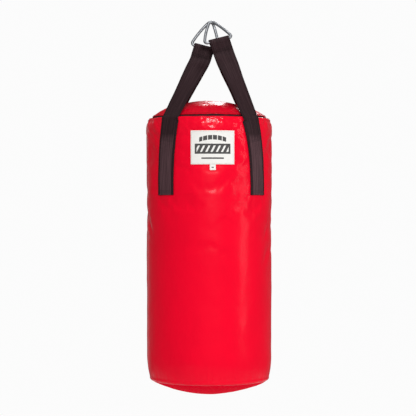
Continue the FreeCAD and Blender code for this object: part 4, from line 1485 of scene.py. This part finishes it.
def make_floor():
    """Round pale floor under the bag, with a softly turned-down edge."""
    stage = bpy.context.scene.bag_stage
    floor_z = RIM_Z - BASE_DROP - stage.floor_drop
    columns = 96
    turns = np.linspace(-math.pi, math.pi, columns, endpoint=False)
    rings = [(0.5, 0.0), (1.2, 0.0), (1.40, 0.0), (1.43, -0.004), (1.44, -0.016)]
    spots = [(r * math.sin(t), -r * math.cos(t), floor_z + h) for r, h in rings for t in turns]
    faces = grid_faces(len(rings), columns, True) + [tuple(range(columns))]
    mesh = bpy.data.meshes.new("floor")
    mesh.from_pydata(spots, [], faces)
    finish = Finish("floor_finish", roughness=0.85, specular_ior_level=0.1)
    grain = finish.noise(finish.place(), 30.0, 4.0)
    pale = tuple(stage.floor)
    mesh.materials.append(finish.paint(base_color=finish.mix(grain, pale, toned(pale, 0.97))))
    floor = bpy.data.objects.new("floor", mesh)
    bpy.context.scene.collection.objects.link(floor)


def make_light(name, place, target, size, power):
    light = bpy.data.lights.new(name, "AREA")
    light.shape = "RECTANGLE"
    light.size, light.size_y = size
    light.energy = power
    lamp = bpy.data.objects.new(name, light)
    bpy.context.scene.collection.objects.link(lamp)
    lamp.location = place
    aim = Vector(target) - Vector(place)
    lamp.rotation_euler = aim.to_track_quat("-Z", "Y").to_euler()


def make_lights():
    key = bpy.context.scene.bag_stage.key
    middle = (0.0, 0.0, -0.6)
    make_light("front_softbox", (0.6, -5.2, 1.2), middle, (1.2, 1.0), key * 10.0)
    make_light("right_strip", (2.5, -1.3, -0.25), middle, (0.7, 1.5), key * 0.8)
    make_light("left_strip", (-1.35, 2.3, -0.4), middle, (0.30, 2.0), key * 0.08)
    make_light("back_softbox", (0.7, 4.4, 1.9), middle, (1.5, 1.0), key * 4.0)
    make_light("top_softbox", (0.1, -0.7, 2.0), (0.0, 0.0, -0.2), (0.9, 0.7), key * 0.9)


def make_world():
    """Even light from all round, weaker in reflections, with the plain backdrop behind it."""
    scene = bpy.context.scene
    stage = scene.bag_stage
    scene.world = bpy.data.worlds.new("studio")
    scene.world.use_nodes = True
    sky = Nodes(scene.world.node_tree)
    sky.tree.nodes.remove(sky.own("BACKGROUND"))
    white = (1.0, 1.0, 1.0, 1.0)

    def glow(shade, strength):
        return sky.node("ShaderNodeBackground", values={"Color": shade, "Strength": strength})

    lit = glow(white, stage.fill)
    for ray, seen in (
        ("Is Glossy Ray", glow(white, stage.fill * 0.6)),
        ("Is Camera Ray", glow(tuple(stage.backdrop), 1.0)),
    ):
        share = sky.node("ShaderNodeLightPath", output=ray)
        lit = sky.node("ShaderNodeMixShader", values={0: share, 1: lit, 2: seen})
    sky.connect(sky.own("OUTPUT_WORLD"), {"Surface": lit})
    scene.view_settings.view_transform = "Standard"


def make_camera():
    camera = bpy.data.cameras.new("camera")
    camera.lens = 133.0
    camera.sensor_width = 36.0
    camera.clip_end = 50.0
    eye = bpy.data.objects.new("camera", camera)
    bpy.context.scene.collection.objects.link(eye)
    eye.location = (-0.0083, -4.25, -0.509)
    eye.rotation_euler = (math.pi / 2, 0.0, 0.0)
    bpy.context.scene.camera = eye


# ---------------------------------------------------------------- panel and registration


class BAG_PT_panel(bpy.types.Panel):
    """Sizes, colours and building steps of the punching bag"""

    bl_label = "Punching Bag"
    bl_idname = "BAG_PT_panel"
    bl_space_type = "VIEW_3D"
    bl_region_type = "UI"
    bl_category = "Punching Bag"

    def draw(self, context):
        for name in SETTINGS:
            box = self.layout.box()
            group = getattr(context.scene, name)
            for key in group.bl_rna.properties.keys():
                if key not in ("rna_type", "name"):
                    box.prop(group, key)
        for operator in OPERATORS:
            self.layout.operator(operator.bl_idname)


SETTINGS = {
    "bag_cloth": BagClothSettings,
    "bag_webbing": BagWebbingSettings,
    "bag_trim": BagTrimSettings,
    "bag_stage": BagStageSettings,
}
OPERATORS = (
    BAG_OT_stage,
    BAG_OT_side,
    BAG_OT_lid,
    BAG_OT_base,
    BAG_OT_straps,
    BAG_OT_stitches,
    BAG_OT_label,
    BAG_OT_back_seam,
    BAG_OT_zip,
    BAG_OT_fittings,
)


def register():
    for kind in (*SETTINGS.values(), *OPERATORS, BAG_PT_panel):
        bpy.utils.register_class(kind)
    for name, kind in SETTINGS.items():
        setattr(bpy.types.Scene, name, PointerProperty(type=kind))


def unregister():
    for name in SETTINGS:
        delattr(bpy.types.Scene, name)
    for kind in reversed((*SETTINGS.values(), *OPERATORS, BAG_PT_panel)):
        bpy.utils.unregister_class(kind)


def main():
    register()
    for operator in OPERATORS:
        group, step = operator.bl_idname.split(".")
        getattr(getattr(bpy.ops, group), step)()


if __name__ == "__main__":
    main()
